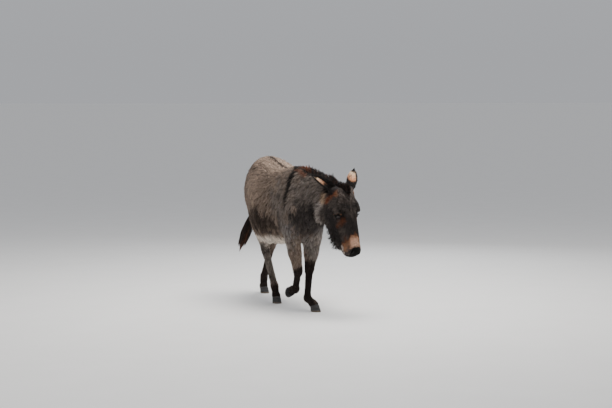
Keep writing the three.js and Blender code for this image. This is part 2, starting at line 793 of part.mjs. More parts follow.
// A hoof: rings from the sole up to the slanted coronet, narrow and upright, flattened at the heel.
function buildHoof(leg) {
  const SIDES = 16;
  const RINGS = 2;
  const frame = hoofFrame(leg);
  const points = [];
  for (let r = 0; r <= RINGS; r++) {
    const t = r / RINGS;
    for (let i = 0; i < SIDES; i++) {
      const a = (2 * Math.PI * i) / SIDES;
      const heel = Math.max(-Math.cos(a), 0);
      const x = Math.cos(a) * (HOOF_LENGTH / 2) * (1 - 0.22 * t) * (1 - 0.16 * heel ** 3);
      const y = Math.sin(a) * (HOOF_WIDTH / 2) * (1 - 0.12 * t) * (1 - 0.1 * heel);
      const back = -17 * t;
      const slope = 0.3 * (x + back - CORONET.x) * t;
      points.push(x + back, y, t * CORONET.z + slope / 0.95);
    }
  }
  const faces = [];
  for (let r = 0; r < RINGS; r++)
    for (let i = 0; i < SIDES; i++) {
      const [a, b] = [r * SIDES + i, r * SIDES + ((i + 1) % SIDES)];
      faces.push(a, b, b + SIDES, a, b + SIDES, a + SIDES);
    }
  for (let i = 1; i + 1 < SIDES; i++) {
    faces.push(0, i + 1, i);
    const top = RINGS * SIDES;
    faces.push(top, top + i, top + i + 1);
  }
  const g = new THREE.BufferGeometry();
  g.setAttribute("position", new THREE.Float32BufferAttribute(points, 3));
  g.setIndex(faces);
  return keepBeyond(
    solidOf(g.applyMatrix4(frame)),
    vec(coronetOf(leg)),
    new THREE.Vector3(0.3, 0, -0.95).transformDirection(frame),
  );
}

// ---------------------------------------------------------------- the ears
// [share of the ear's length, radius of its roll, half the angle that it wraps round, in degrees].
// An ear is nearly a tube at its root and opens out to a pointed tip.
const EAR_ROLL = [
  [0, 27, 150],
  [0.15, 31, 128],
  [0.35, 40, 96],
  [0.55, 43, 76],
  [0.75, 36, 66],
  [0.9, 23, 60],
  [1, 7, 60],
];
function buildEar({ root, tip, opens }) {
  const LENGTHS = 8;
  const ACROSS = 6;
  const axis = vec(tip).normalize();
  const out = vec(opens).addScaledVector(axis, -vec(opens).dot(axis)).normalize();
  const wide = new THREE.Vector3().crossVectors(axis, out);
  const start = vec(inHead(...root)).addScaledVector(out, -24);
  const points = [];
  const wall = (layer) => {
    for (let i = 0; i <= LENGTHS; i++) {
      const t = i / LENGTHS;
      const r = along(EAR_ROLL, t, 1);
      const half = THREE.MathUtils.degToRad(along(EAR_ROLL, t, 2));
      const inset = layer * Math.min(EAR_WALL, r * 0.5);
      for (let j = 0; j <= ACROSS; j++) {
        const a = half * ((2 * j) / ACROSS - 1);
        const p = start
          .clone()
          .addScaledVector(axis, t * EAR_LENGTH)
          .addScaledVector(out, r - (r - inset) * Math.cos(a) + 16 * t * t)
          .addScaledVector(wide, (r - inset) * Math.sin(a));
        points.push(...p.toArray());
      }
    }
  };
  wall(0);
  wall(1);
  const row = ACROSS + 1;
  const inner = (LENGTHS + 1) * row;
  const faces = [];
  const quad = (a, b, c, d) => faces.push(a, c, b, a, d, c);
  for (let i = 0; i < LENGTHS; i++) {
    for (let j = 0; j < ACROSS; j++) {
      const a = i * row + j;
      quad(a, a + 1, a + 1 + row, a + row);
      quad(inner + a, inner + a + row, inner + a + 1 + row, inner + a + 1);
    }
    const right = i * row + ACROSS;
    quad(i * row, i * row + row, inner + i * row + row, inner + i * row);
    quad(right, inner + right, inner + right + row, right + row);
  }
  for (let j = 0; j < ACROSS; j++) {
    const last = LENGTHS * row + j;
    quad(j, inner + j, inner + j + 1, j + 1);
    quad(last, last + 1, inner + last + 1, inner + last);
  }
  const g = new THREE.BufferGeometry();
  g.setAttribute("position", new THREE.Float32BufferAttribute(points, 3));
  g.setIndex(faces);
  return solidOf(g);
}

// ---------------------------------------------------------------- mane and switch
// The upright mane: a ridge along the crest of the neck that ends in the forelock between the ears.
const crest = (s, above) => inNeck(s, 0, along(NECK_STATIONS, s, 1) + above);
const MANE_LINE = [
  crest(-40, 2),
  crest(60, 18),
  crest(150, 17),
  crest(240, 15),
  crest(330, 16),
  crest(400, 15),
  inHead(-4, 0, 10),
  inHead(52, 0, 15),
];
const mane = melt(
  14,
  ...MANE_LINE.slice(1).map((end, i) => limb(MANE_LINE[i], end, 27, i > 4 ? 20 : 27, 0.56)),
);

const tailSwitch = melt(
  24,
  limb(lerp(TAIL_MIDDLE, TAIL_END, 0.5), lerp(TAIL_END, SWITCH_END, 0.35), 25, 33),
  limb(lerp(TAIL_END, SWITCH_END, 0.35), SWITCH_END, 33, 13),
);
const switchSide = vec(SWITCH_END).sub(vec(TAIL_MIDDLE));

const tailBox = (bottom) => [UPRIGHT, [-1050, -200, bottom], [-800, 80, 1080], [25, 25, 42]];

const headSolid = buildHead();
const neckSolid = buildNeck();
add("head", headSolid, COAT);
add("neck", neckSolid, COAT);
add("trunk", buildTrunk(), COAT);
for (const name of Object.keys(LEGS)) buildLeg(name);
for (const side of [1, -1])
  add(side > 0 ? "eye_left" : "eye_right", eyeBall(side, EYE_RADIUS), EYE, 0.1);

const around = [headSolid, neckSolid]
  .flatMap((solid) => [solid, swollen(solid, CLEARANCE)])
  .reduce((all, solid) => all.add(solid));
for (const [name, ear] of Object.entries(EARS))
  add(name, whole(buildEar(ear).subtract(around)), EAR_COAT);

const ridge = surfaceOf(mane, NECK_FRAME, [-120, -60, -30], [620, 90, 300], [43, 16, 21]);
add("mane", whole(ridge.subtract(around)), DARK_COAT);

const tailShape = keepBeyond(surfaceOf(body, ...tailBox(520)), TAIL_CUT, tailSide);
add("tail", whole(keepBeyond(tailShape, vec(TAIL_END), flipped(switchSide))), COAT);
const switchShape = surfaceOf(melt(10, tailSwitch, tail), ...tailBox(300));
add("tail_switch", whole(keepBeyond(switchShape, vec(TAIL_END), switchSide)), DARK_COAT);

// The origin goes to the middle of the bottom of the bounding box.
const bounds = new THREE.Box3().setFromObject(donkey);
const middle = bounds.getCenter(new THREE.Vector3());
donkey.position.set(-middle.x, -middle.y, -bounds.min.z);

export default donkey;
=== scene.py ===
# %% [markdown]
# # A shaggy donkey, dressed from its solid parts
#
# The animal comes as plain solids that a drawing office could measure: a head, a neck, a trunk, legs,
# ears, hooves and eyes. They are right in size and pose, but they look like cut wood. This lesson gives
# them one skin, eyes that sit in lids, hooves with rings, and a winter coat of many thousand tufts.

# %% Load the solids
import math
import time
import bpy
import numpy as np
from mathutils import Matrix, Vector
from mathutils.bvhtree import BVHTree
from mathutils.kdtree import KDTree


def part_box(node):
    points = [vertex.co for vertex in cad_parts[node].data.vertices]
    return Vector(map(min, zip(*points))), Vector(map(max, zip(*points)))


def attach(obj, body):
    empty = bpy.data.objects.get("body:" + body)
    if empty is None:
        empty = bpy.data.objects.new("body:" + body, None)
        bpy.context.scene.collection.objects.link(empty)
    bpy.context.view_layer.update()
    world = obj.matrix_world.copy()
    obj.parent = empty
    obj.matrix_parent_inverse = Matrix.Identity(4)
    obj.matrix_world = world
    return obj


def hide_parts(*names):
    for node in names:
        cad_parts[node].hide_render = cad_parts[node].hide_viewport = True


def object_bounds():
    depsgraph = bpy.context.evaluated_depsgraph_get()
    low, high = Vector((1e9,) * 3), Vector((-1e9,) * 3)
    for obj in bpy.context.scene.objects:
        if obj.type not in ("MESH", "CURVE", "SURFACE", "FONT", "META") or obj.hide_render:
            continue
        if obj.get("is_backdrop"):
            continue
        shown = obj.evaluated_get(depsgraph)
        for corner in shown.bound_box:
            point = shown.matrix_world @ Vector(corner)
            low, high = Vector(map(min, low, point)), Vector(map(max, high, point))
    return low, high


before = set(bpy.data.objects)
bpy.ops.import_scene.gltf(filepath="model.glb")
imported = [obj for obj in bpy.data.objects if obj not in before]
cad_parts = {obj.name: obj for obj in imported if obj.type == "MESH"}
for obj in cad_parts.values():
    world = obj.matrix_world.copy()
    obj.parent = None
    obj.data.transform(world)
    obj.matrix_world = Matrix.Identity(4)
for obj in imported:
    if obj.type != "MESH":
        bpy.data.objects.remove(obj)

CAD_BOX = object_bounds()
START = time.time()
MM = 0.001


def say(words):
    print(f"{time.time() - START:6.1f} s  {words}", flush=True)


def deselect_all():
    if bpy.context.object and bpy.context.object.mode != "OBJECT":
        bpy.ops.object.mode_set(mode="OBJECT")
    bpy.ops.object.select_all(action="DESELECT")


def pick(*objects):
    deselect_all()
    for o in objects:
        o.select_set(True)
    bpy.context.view_layer.objects.active = objects[-1]


say(f"the solids fill {[[round(c, 3) for c in corner] for corner in CAD_BOX]}")

# %% [markdown]
# ## The camera
#
# The animal is seen from its front right, from a standing adult's eyes, through a long lens. A long lens
# keeps near and far legs at nearly the same scale, as the eye expects of an animal seen from ten metres.

# %% The camera
WITHERS = Vector((0.20516, -0.03405, 0.0))  # the ground right under the withers
VISITOR = Vector((10.72, -4.042, 1.6))  # a standing adult's eyes, measured from there in metres
LOOKING, DOWNWARDS = Vector((-0.934, 0.358, 0)), math.radians(4.0)
bpy.ops.object.camera_add(location=WITHERS + VISITOR)
camera = bpy.context.object
camera.name = "camera"
view_line = LOOKING.normalized() * math.cos(DOWNWARDS) - Vector((0, 0, math.sin(DOWNWARDS)))
camera.rotation_euler = view_line.to_track_quat("-Z", "Y").to_euler()
camera.data.sensor_width = 36  # mm, as is the lens
camera.data.lens = 89.1
camera.data.clip_end = 1000
bpy.context.scene.camera = camera
say(f"the camera is {VISITOR.length:.1f} m away, with a lens of {camera.data.lens:.1f} mm")

# %% [markdown]
# ## The skin
#
# On the animal one skin covers everything, so the cuts between the solids must go. Copies of the flesh
# solids are smoothed, swollen until they touch, and remeshed with voxels, which keeps only the outside
# of what they fill together. Hooves and eyes stay out: they are horn and glass-clear cornea, not skin.

# %% Pieces of flesh, and where the eyes are
FLESH = ["head", "neck", "trunk", "tail", "ear_left", "ear_right"]
for leg in ("fore_left", "fore_right", "hind_left", "hind_right"):
    FLESH += [f"{leg}_upper", f"{leg}_lower"]
EYE_RADIUS = 18 * MM
EYES = {}
for side in ("left", "right"):
    low, high = (Vector(c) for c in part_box(f"eye_{side}"))
    EYES[side] = (low + high) / 2
between = (EYES["left"] - EYES["right"]).length
say(f"{len(FLESH)} pieces of flesh; the eyes are {between / MM:.0f} mm apart")

# %% Copy the flesh into one piece
SOCKET_RADIUS = EYE_RADIUS + 1.5 * MM  # a ball of this size fills each eye's place


def copy_of_flesh():
    copies = []
    for name in FLESH:
        copy = bpy.data.objects.new(f"copy_{name}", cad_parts[name].data.copy())
        bpy.context.scene.collection.objects.link(copy)
        copies.append(copy)
    for centre in EYES.values():
        bpy.ops.mesh.primitive_uv_sphere_add(radius=SOCKET_RADIUS, location=centre)
        copies.append(bpy.context.object)
    pick(*copies)
    bpy.ops.object.join()
    skin = bpy.context.object
    bpy.ops.object.transform_apply(location=True, rotation=True, scale=True)
    skin.name = skin.data.name = "skin"
    skin.data.materials.clear()
    return skin


skin = copy_of_flesh()
say(f"copies of the flesh: {len(skin.data.polygons)} faces")

# %% Round the copies, swell them and close their cuts
MERGE = 0.02 * MM  # corners closer than this are one corner
TRUE_EDGE = math.radians(58)  # an edge sharper than this is meant, such as an ear's
SWELL = 1.0 * MM
VOXEL = 3.8 * MM


def edit_whole(o):
    """Goes into edit mode with all of the mesh selected."""
    pick(o)
    bpy.ops.object.mode_set(mode="EDIT")
    bpy.ops.mesh.select_all(action="SELECT")


def apply_modifier(o, kind, **settings):
    m = o.modifiers.new(kind.lower(), kind)
    for key, value in settings.items():
        setattr(m, key, value)
    pick(o)
    bpy.ops.object.modifier_apply(modifier=m.name)


edit_whole(skin)
bpy.ops.mesh.remove_doubles(threshold=MERGE)
bpy.ops.mesh.select_all(action="DESELECT")
bpy.ops.mesh.edges_select_sharp(sharpness=TRUE_EDGE)
bpy.ops.transform.edge_crease(value=1.0)
bpy.ops.object.mode_set(mode="OBJECT")
apply_modifier(skin, "SUBSURF", levels=2, render_levels=2)
edit_whole(skin)
bpy.ops.transform.shrink_fatten(value=SWELL)
bpy.ops.object.mode_set(mode="OBJECT")
say(f"smoothed copies: {len(skin.data.polygons)} faces")
apply_modifier(skin, "REMESH", mode="VOXEL", voxel_size=VOXEL)
say(f"one skin: {len(skin.data.polygons)} faces")

# %% [markdown]
# ## Places on the body
#
# Hair lies one way on the cheek and another on the flank, and it is marked by place too. So the body
# gets three rulers: one under the withers, one down the face and one along the neck. Each turns
# millimetres that a person could measure on the animal into a place in the scene.

# %% Rulers for the body, the face and the neck
POLL = (494, 188, 940)
HEAD_PITCH, HEAD_YAW = math.radians(72), math.radians(17)
NECK_START, NECK_END = (30, 5, 868), (436, 160, 842)


def here(x, y, z):
    return WITHERS + Vector((x, y, z)) * MM


def ruler(origin, forward):
    """The axes along, to the left and outwards, as columns, and the place where the ruler starts."""
    x = Vector(forward).normalized()
    y = Vector((0, 0, 1)).cross(x).normalized()
    axes = Matrix((x, y, x.cross(y))).transposed()
    return axes, here(*origin)


face_down = (
    math.cos(HEAD_PITCH) * math.cos(HEAD_YAW),
    math.cos(HEAD_PITCH) * math.sin(HEAD_YAW),
    -math.sin(HEAD_PITCH),
)
HEAD_AXES, HEAD_ORIGIN = ruler(POLL, face_down)
NECK_AXES, NECK_ORIGIN = ruler(NECK_START, Vector(NECK_END) - Vector(NECK_START))


def on_head(s, w, v):
    return HEAD_ORIGIN + HEAD_AXES @ Vector((s, w, v)) * MM


def on_neck(s, w, v):
    return NECK_ORIGIN + NECK_AXES @ Vector((s, w, v)) * MM


say(f"the nose is at {[round(c, 3) for c in on_head(505, 0, -20)]}")

# %% [markdown]
# ## Combing the coat
#
# A groom's brush strokes say all there is to know of a coat: where the hair is, which way it lies, how
# high it stands (depth), how long it is and how wide its locks are. Each row below is such a stroke, in
# millimetres. Between the strokes everything is blended, so a few dozen rows cover the whole animal.

# %% Joints of the legs and the tail, from the top down
LEGS = {
    "fore_left": [(112, 124, 740), (40, 112, 615), (68, 68, 306), (106, 38, 92), (202, 68, 0)],
    "fore_right": [(128, -112, 745), (88, -88, 614), (178, -66, 310), (48, -34, 158), (-62, -50, 124)],
    "hind_left": [(-690, 80, 880), (-590, 116, 655), (-872, 98, 398), (-1000, 80, 138), (-972, 76, 0)],
    "hind_right": [(-680, -80, 880), (-486, -110, 672), (-540, -70, 404), (-404, -44, 136), (-350, -42, 0)],
}
TAIL = [(-836, 0, 1000), (-918, -16, 880), (-944, -38, 700), (-958, -64, 560), (-982, -138, 352)]
say(f"the tail reaches down to {TAIL[-1][2]} mm above the ground")

# %% A stroke of the brush
comb = []  # place, way the hair lies, depth, length, width


def stroke(place, lie, depth, length, width):
    comb.append((tuple(place), tuple(Vector(lie).normalized()), depth, length, width))


def on_both_sides(ruled, rows, axes=Matrix.Identity(3)):
    """Rows off the middle line are combed on the left and, turned over, on the right."""
    for (a, b, c), lie, *sizes in rows:
        for side in (1, -1) if b else (1,):
            turned = axes @ Vector((lie[0], lie[1] * side, lie[2]))
            stroke(ruled(a, b * side, c), turned, *sizes)


# %% Strokes on the body
on_both_sides(here, [
    ((-650, 0, 1140), (-1, 0, -0.2), 12, 36, 5.5),
    ((-350, 0, 1080), (-1, 0, -0.1), 12, 38, 5.5),
    ((0, 0, 1075), (-0.95, 0, -0.3), 12, 36, 5.5),
    ((-300, 200, 960), (-0.85, 0.1, -0.5), 13, 44, 6),
    ((-520, 190, 980), (-0.8, 0.1, -0.55), 13, 42, 6),
    ((-300, 265, 800), (-0.55, 0, -0.85), 14, 48, 6.5),
    ((-120, 215, 800), (-0.5, 0, -0.85), 13, 44, 6),
    ((-300, 235, 620), (-0.2, -0.2, -1), 14, 50, 6.5),
    ((-300, 70, 480), (-0.8, -0.3, -0.4), 14, 42, 6),
    ((-300, 0, 470), (-1, 0, -0.5), 15, 42, 6),
    ((-780, 110, 1010), (-0.75, 0, -0.7), 12, 36, 5.5),
    ((-850, 60, 860), (-0.2, 0.1, -1), 11, 34, 5.5),
    ((-640, 175, 860), (-0.5, 0, -0.9), 12, 40, 6),
    ((-660, 150, 720), (-0.35, 0, -0.95), 10, 32, 5),
    ((-480, 190, 620), (-0.1, 0, -1), 13, 42, 6),
    ((0, 160, 920), (-0.4, 0.15, -0.9), 11, 36, 5.5),
    ((110, 160, 740), (-0.15, 0, -1), 10, 32, 5),
    ((-120, 200, 600), (-0.35, 0, -0.95), 13, 42, 6),
    ((190, 50, 700), (-0.1, 0, -1), 11, 36, 5.5),
    ((110, 0, 520), (-0.7, 0, -0.7), 11, 34, 5),
])
say(f"{len(comb)} strokes on the body")

# %% Strokes on the neck
on_both_sides(on_neck, [
    ((60, 60, 150), (-0.5, 0.4, -0.85), 11, 36, 5.5),
    ((220, 50, 130), (-0.45, 0.4, -0.85), 10, 32, 5),
    ((380, 50, 90), (-0.45, 0.4, -0.85), 9, 28, 4.5),
    ((100, 100, 0), (-0.5, 0, -0.85), 11, 38, 5.5),
    ((250, 90, 0), (-0.5, 0, -0.85), 11, 36, 5.5),
    ((380, 84, -20), (-0.5, 0, -0.85), 9, 28, 4.5),
    ((120, 60, -170), (-0.5, -0.2, -0.85), 12, 42, 6),
    ((300, 50, -150), (-0.6, -0.2, -0.75), 13, 42, 6),
], NECK_AXES)
say(f"{len(comb)} strokes with the neck")

# %% Strokes on the head
on_both_sides(on_head, [
    ((40, 40, 8), (-1, 0.3, 0), 5, 18, 3.2),
    ((110, 40, 20), (-0.8, 0.7, 0), 5, 16, 3),
    ((120, 0, 24), (-1, 0, 0), 5, 16, 3),
    ((165, 0, 18), (1, 0, 0), 4, 14, 2.8),
    ((170, 60, 8), (0.7, 0.8, 0), 4, 13, 2.8),
    ((300, 0, 2), (1, 0, 0), 3, 11, 2.4),
    ((320, 60, -40), (0.9, 0.1, -0.45), 3, 11, 2.4),
    ((250, 75, -90), (0.6, 0, -0.8), 3.5, 13, 2.6),
    ((195, 92, -44), (0.5, 0.3, -0.8), 1.8, 7, 1.9),
    ((130, 90, -90), (0, 0, -1), 6, 20, 3.2),
    ((190, 85, -160), (0.2, 0, -1), 8, 24, 3.6),
    ((90, 70, -200), (-0.3, 0, -1), 14, 38, 4.5),
    ((180, 40, -270), (0.1, -0.3, -1), 26, 52, 5),
    ((270, 30, -262), (0.3, -0.3, -1), 26, 50, 5),
    ((350, 24, -226), (0.4, -0.3, -1), 18, 38, 4.5),
    ((410, 20, -180), (0.4, 0, -1), 7, 20, 3),
    ((380, 0, -4), (1, 0, 0), 2.5, 9, 2.2),
    ((400, 50, -90), (0.6, 0.1, -0.75), 3, 11, 2.4),
    ((450, 45, -50), (0.6, 0.3, -0.6), 1.4, 6, 1.7),
    ((485, 0, -60), (0.3, 0, -1), 1.2, 5, 1.6),
    ((460, 25, -110), (0.2, 0.2, -1), 2, 8, 1.9),
    ((430, 20, -140), (0.3, 0, -1), 4, 14, 2.4),
], HEAD_AXES)
say(f"{len(comb)} strokes with the head")

# %% Strokes on the legs and the tail
LEG_ROWS = [  # part of the leg, share of the way to the next joint, depth, length, width
    (0, 0.5, 11, 34, 5.5),
    (1, 0.0, 9, 28, 5),
    (1, 0.35, 7, 22, 4),
    (1, 0.75, 4.5, 16, 3),
    (2, 0.0, 4, 13, 2.6),
    (2, 0.35, 3.5, 13, 2.5),
    (2, 0.75, 4, 14, 2.6),
    (3, 0.0, 6, 20, 3),
    (3, 0.35, 4, 14, 2.6),
    (3, 0.62, 2.5, 13, 2.4),
]
for joints in LEGS.values():
    for part, share, *sizes in LEG_ROWS:
        a, b = Vector(joints[part]), Vector(joints[part + 1])
        stroke(here(*a.lerp(b, share)), b - a, *sizes)
for i, sizes in enumerate([(9, 30, 5), (8, 32, 5), (7, 34, 4.5)]):
    a, b = Vector(TAIL[i]), Vector(TAIL[i + 1])
    for share in (0, 0.5):
        stroke(here(*a.lerp(b, share)), b - a, *sizes)
say(f"{len(comb)} strokes with the legs and the tail")

# %% [markdown]
# ## The ears as leaves rolled about their length
#
# An ear is nearly a tube at its root and opens to a pointed tip. Its hollow side carries long pale
# hair and its back short dark hair, so a place on it needs three numbers: how far towards the tip it
# lies, how far round from the middle of the back, and on which side of the gristle.

# %% Rulers for the ears
EAR_LENGTH = 240 * MM
EAR_BOW = 16 * MM  # how far the tip bends towards the open side
EAR_ROLL = [(0, 27), (0.15, 31), (0.35, 40), (0.55, 43), (0.75, 36), (0.9, 23), (1, 7)]  # share, radius
EARS = {  # root, way to the tip, way that the hollow opens
    "ear_left": ((24, 52, -34), (-0.58, 0.42, 0.7), (0.93, -0.3, 0.1)),
    "ear_right": ((24, -52, -34), (-0.59, -0.6, 0.54), (0.3, -0.35, 0.8)),
}
ear_rulers = {}
for name, (root, tip, opens) in EARS.items():
    axis = Vector(tip).normalized()
    out = (Vector(opens) - axis * Vector(opens).dot(axis)).normalized()
    wide = axis.cross(out)
    start = on_head(*root) - out * 24 * MM
    ear_rulers[name] = [np.array(v) for v in (start, axis, out, wide)]
    for share in (0.1, 0.3, 0.5, 0.7, 0.9):
        stroke(start + axis * EAR_LENGTH * share + out * 20 * MM, axis, 1.2, 9, 2.2)
say(f"ears of {EAR_LENGTH / MM:.0f} mm, and {len(comb)} strokes with theirs")


def on_ear(name, points, normals):
    """Share of the length, angle round from the back, and whether a place is on the hollow side."""
    start, axis, out, wide = ear_rulers[name]
    share = (points - start) @ axis / EAR_LENGTH
    radius = np.interp(share, *zip(*EAR_ROLL)) * MM
    centre = start + np.outer(share * EAR_LENGTH, axis) + np.outer(radius + EAR_BOW * share**2, out)
    outward = points - centre
    angle = np.arctan2(outward @ wide, -(outward @ out))
    inner = (outward * normals).sum(1) < 0
    near = (share > 0.06) & (share < 1.05) & (np.linalg.norm(outward, axis=1) < radius * 1.35 + 4 * MM)
    return share, angle, inner, near


# %% Blend the strokes anywhere
COMB_PLACES, COMB_LIES = (np.array([row[i] for row in comb]) for i in (0, 1))
COMB_SIZES = np.array([row[2:] for row in comb]) * MM
COMB_BLUR = 22 * MM
COMB_FALL = -2.5  # how fast a stroke loses its say with the square of the distance
AT_ONCE = 20000  # points in one table, so that it stays small


def combed(points):
    """The way the hair lies, and its depth, length and width, at each of many places."""
    lie = np.empty((len(points), 3))
    sizes = np.empty((len(points), 3))
    for start in range(0, len(points), AT_ONCE):
        part = points[start : start + AT_ONCE]
        gap2 = ((part[:, None, :] - COMB_PLACES) ** 2).sum(2) + COMB_BLUR**2
        weight = gap2**COMB_FALL
        weight /= weight.sum(1, keepdims=True)
        lie[start : start + AT_ONCE] = weight @ COMB_LIES
        sizes[start : start + AT_ONCE] = weight @ COMB_SIZES
    return lie, sizes


# %% [markdown]
# ## From a hull to a skin
#
# The solids reach out to the tips of the hair, so the skin lies deeper: by the coat's depth at each
# place. Broad forms such as the flank are smoothed a long way first, because a plain facet there is as
# wide as a hand, while the face and the lower legs are hardly smoothed at all, to keep their bones.

# %% Read and write a mesh as arrays
def points_of(o):
    co = np.empty(len(o.data.vertices) * 3, np.float32)
    o.data.vertices.foreach_get("co", co)
    return co.reshape(-1, 3).astype(float)


def normals_of(o):
    n = np.empty(len(o.data.vertices) * 3, np.float32)
    o.data.vertex_normals.foreach_get("vector", n)
    return n.reshape(-1, 3).astype(float)


def move_points(o, points):
    o.data.vertices.foreach_set("co", points.astype(np.float32).ravel())
    o.data.update()


def weigh(o, name, weights):
    """A vertex group from an array. Ten steps are enough, and far faster than one call a vertex."""
    group = o.vertex_groups.new(name=name)
    steps = np.rint(np.clip(weights, 0, 1) * 10).astype(int)
    for step in range(1, 11):
        group.add(np.flatnonzero(steps == step).tolist(), step / 10, "REPLACE")


def ease(x):
    x = np.clip(x, 0, 1)
    return x * x * (3 - 2 * x)


# %% Smooth the broad forms
SHORT_HAIR, LONG_HAIR = 15, 37  # mm; skin is smoothed not at all under the one, fully under the other
_, sizes = combed(points_of(skin))
weigh(skin, "broad", (sizes[:, 1] / MM - SHORT_HAIR) / (LONG_HAIR - SHORT_HAIR))
apply_modifier(skin, "SMOOTH", factor=0.5, iterations=90, vertex_group="broad")
apply_modifier(skin, "SMOOTH", factor=0.5, iterations=5)
say("smoothed")

# %% Sink by the coat's depth, which runs out above the hooves
HAIRLINE, FULL_DEPTH = 4 * MM, 28 * MM
points, normals = points_of(skin), normals_of(skin)
_, sizes = combed(points)
depth = sizes[:, 0]
for leg in LEGS:
    low, high = (np.array(c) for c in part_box(f"{leg}_hoof"))
    gap = np.linalg.norm(np.maximum(np.maximum(low - points, points - high), 0), axis=1)
    depth = depth * ease((gap - HAIRLINE) / (FULL_DEPTH - HAIRLINE))
move_points(skin, points - normals * (depth + SWELL)[:, None])
apply_modifier(skin, "SMOOTH", factor=0.5, iterations=3)
say("sunk by the coat's depth")

# %% [markdown]
# The voxels are small everywhere, which the ears and face need and the flank doesn't. Decimation is told
# by the length of the hair where triangles may go: few under short hair, most under long.

# %% Spend the faces where they show
LEAST_SPARE, KEPT_SHARE = 0.12, 0.22
SPARE_FROM, SPARE_FULLY = 12, 36  # mm of hair
_, sizes = combed(points_of(skin))
weigh(skin, "spare", LEAST_SPARE + (sizes[:, 1] / MM - SPARE_FROM) / (SPARE_FULLY - SPARE_FROM))
apply_modifier(skin, "DECIMATE", ratio=KEPT_SHARE, vertex_group="spare", vertex_group_factor=1.0)
skin.vertex_groups.clear()
say(f"thinned to {len(skin.data.polygons)} faces")

# %% [markdown]
# ## Lids, nostrils and lips
#
# Voxels can't hold an eyelid, so the faces round the eyes, nostrils and lips are cut finer first. The
# lid is then a matter of two distances: how far a point lies from the almond of the opening, and how far
# it stands above the eyeball. Outside the almond the skin lies on the ball, and inside it dives behind.

# %% Select faces, and cut them finer
def edit_faces(o, chosen):
    """Goes into edit mode with only the chosen faces selected."""
    pick(o)
    bpy.ops.object.mode_set(mode="EDIT")
    bpy.ops.mesh.select_mode(type="FACE")
    bpy.ops.mesh.select_all(action="DESELECT")
    bpy.ops.object.mode_set(mode="OBJECT")
    o.data.polygons.foreach_set("select", chosen)
    bpy.ops.object.mode_set(mode="EDIT")


def nearest_gap(points, places):
    """How far each point is from the nearest of a few places."""
    return np.min([np.linalg.norm(points - np.array(p), axis=1) for p in places], axis=0)


def cut_finer(places, reach):
    """Halves the edges of every face within reach of one of the places."""
    centres = np.empty(len(skin.data.polygons) * 3)
    skin.data.polygons.foreach_get("center", centres)
    edit_faces(skin, nearest_gap(centres.reshape(-1, 3), places) < reach)
    bpy.ops.mesh.subdivide(number_cuts=1)
    bpy.ops.mesh.quads_convert_to_tris()
    bpy.ops.mesh.vertices_smooth(factor=0.5, repeat=2)
    bpy.ops.object.mode_set(mode="OBJECT")


# %% Finer faces round the eyes, the nostrils and the lips
def surface_of(o):
    """A finder of the nearest place on a mesh."""
    return BVHTree.FromObject(o, bpy.context.evaluated_depsgraph_get())


hide = surface_of(skin)
NOSTRILS = [hide.find_nearest(on_head(459, side * 34, -40))[0] for side in (1, -1)]
LIP_LINE = [(484, 0, -92), (482, 20, -92), (468, 38, -93), (444, 47, -97), (418, 50, -106)]
LIP_LINE = [np.array(on_head(s, w * side, v)) for side in (-1, 1) for s, w, v in LIP_LINE[::side]]
cut_finer(EYES.values(), 42 * MM)
cut_finer(EYES.values(), 30 * MM)
cut_finer(NOSTRILS, 30 * MM)
cut_finer(LIP_LINE, 14 * MM)
say(f"{len(skin.data.polygons)} faces")

# %% The almond of the opening
LID_HALF_LENGTH, LID_HALF_HEIGHT, LID_THICKNESS = 17.5 * MM, 9.5 * MM, 1.6 * MM


def eye_ruler(side):
    """Along the slit towards the nose, up across it, and out of the eye."""
    turn = 1 if side == "left" else -1
    out = (HEAD_AXES @ Vector((0.06, turn * 0.84, 0.54))).normalized()
    slit = HEAD_AXES @ Vector((0.5, turn * -0.45, 0.74))
    slit = (slit - out * slit.dot(out)).normalized()
    up = out.cross(slit) * -turn
    return np.array([slit, up, out])


def lid_distance(a, b):
    """How far a point of the eye's plane lies outside the almond; negative inside it."""
    height = LID_HALF_HEIGHT * np.clip(1 - (a / LID_HALF_LENGTH) ** 2, 0, 1) ** 0.75
    height = np.where(b > 0, height, height * 0.85)
    beyond = np.hypot(np.maximum(np.abs(a) - LID_HALF_LENGTH, 0), b)
    return np.where(np.abs(a) < LID_HALF_LENGTH, np.abs(b) - height, beyond)


# %% Lids
def hump(x, at, wide):
    """Rises smoothly from 0 to 1 and falls again where x passes at."""
    return np.exp(-(((x - at) / wide) ** 2))


points = points_of(skin)
for side, centre in EYES.items():
    ruler_of_eye = eye_ruler(side)
    a, b, c = ((points - np.array(centre)) @ ruler_of_eye.T).T
    r = np.hypot(a, b)
    ball = np.sqrt(np.maximum(EYE_RADIUS**2 - r**2, 0))
    d = lid_distance(a, b)
    fold = hump(d, 8 * MM, 1.8 * MM) * np.where(b > 0, 1.6, 0.9) * MM  # deeper above than below
    bulge = hump(d, 3 * MM, 3 * MM) * 1.2 * MM  # the lid's round rim
    lid = ball + LID_THICKNESS + bulge - fold
    lid = np.where(r < EYE_RADIUS, lid, np.minimum(c, lid + 2 * MM) + bulge - fold)
    behind = ball - 5 * MM
    inside = ease(-d / (1.5 * MM))
    wanted = lid * (1 - inside) + behind * inside
    share = ease((27 * MM - r) / (9 * MM)) * (c > 0)
    points += np.outer(share * (wanted - c), ruler_of_eye[2])
move_points(skin, points)
say("eyelids")

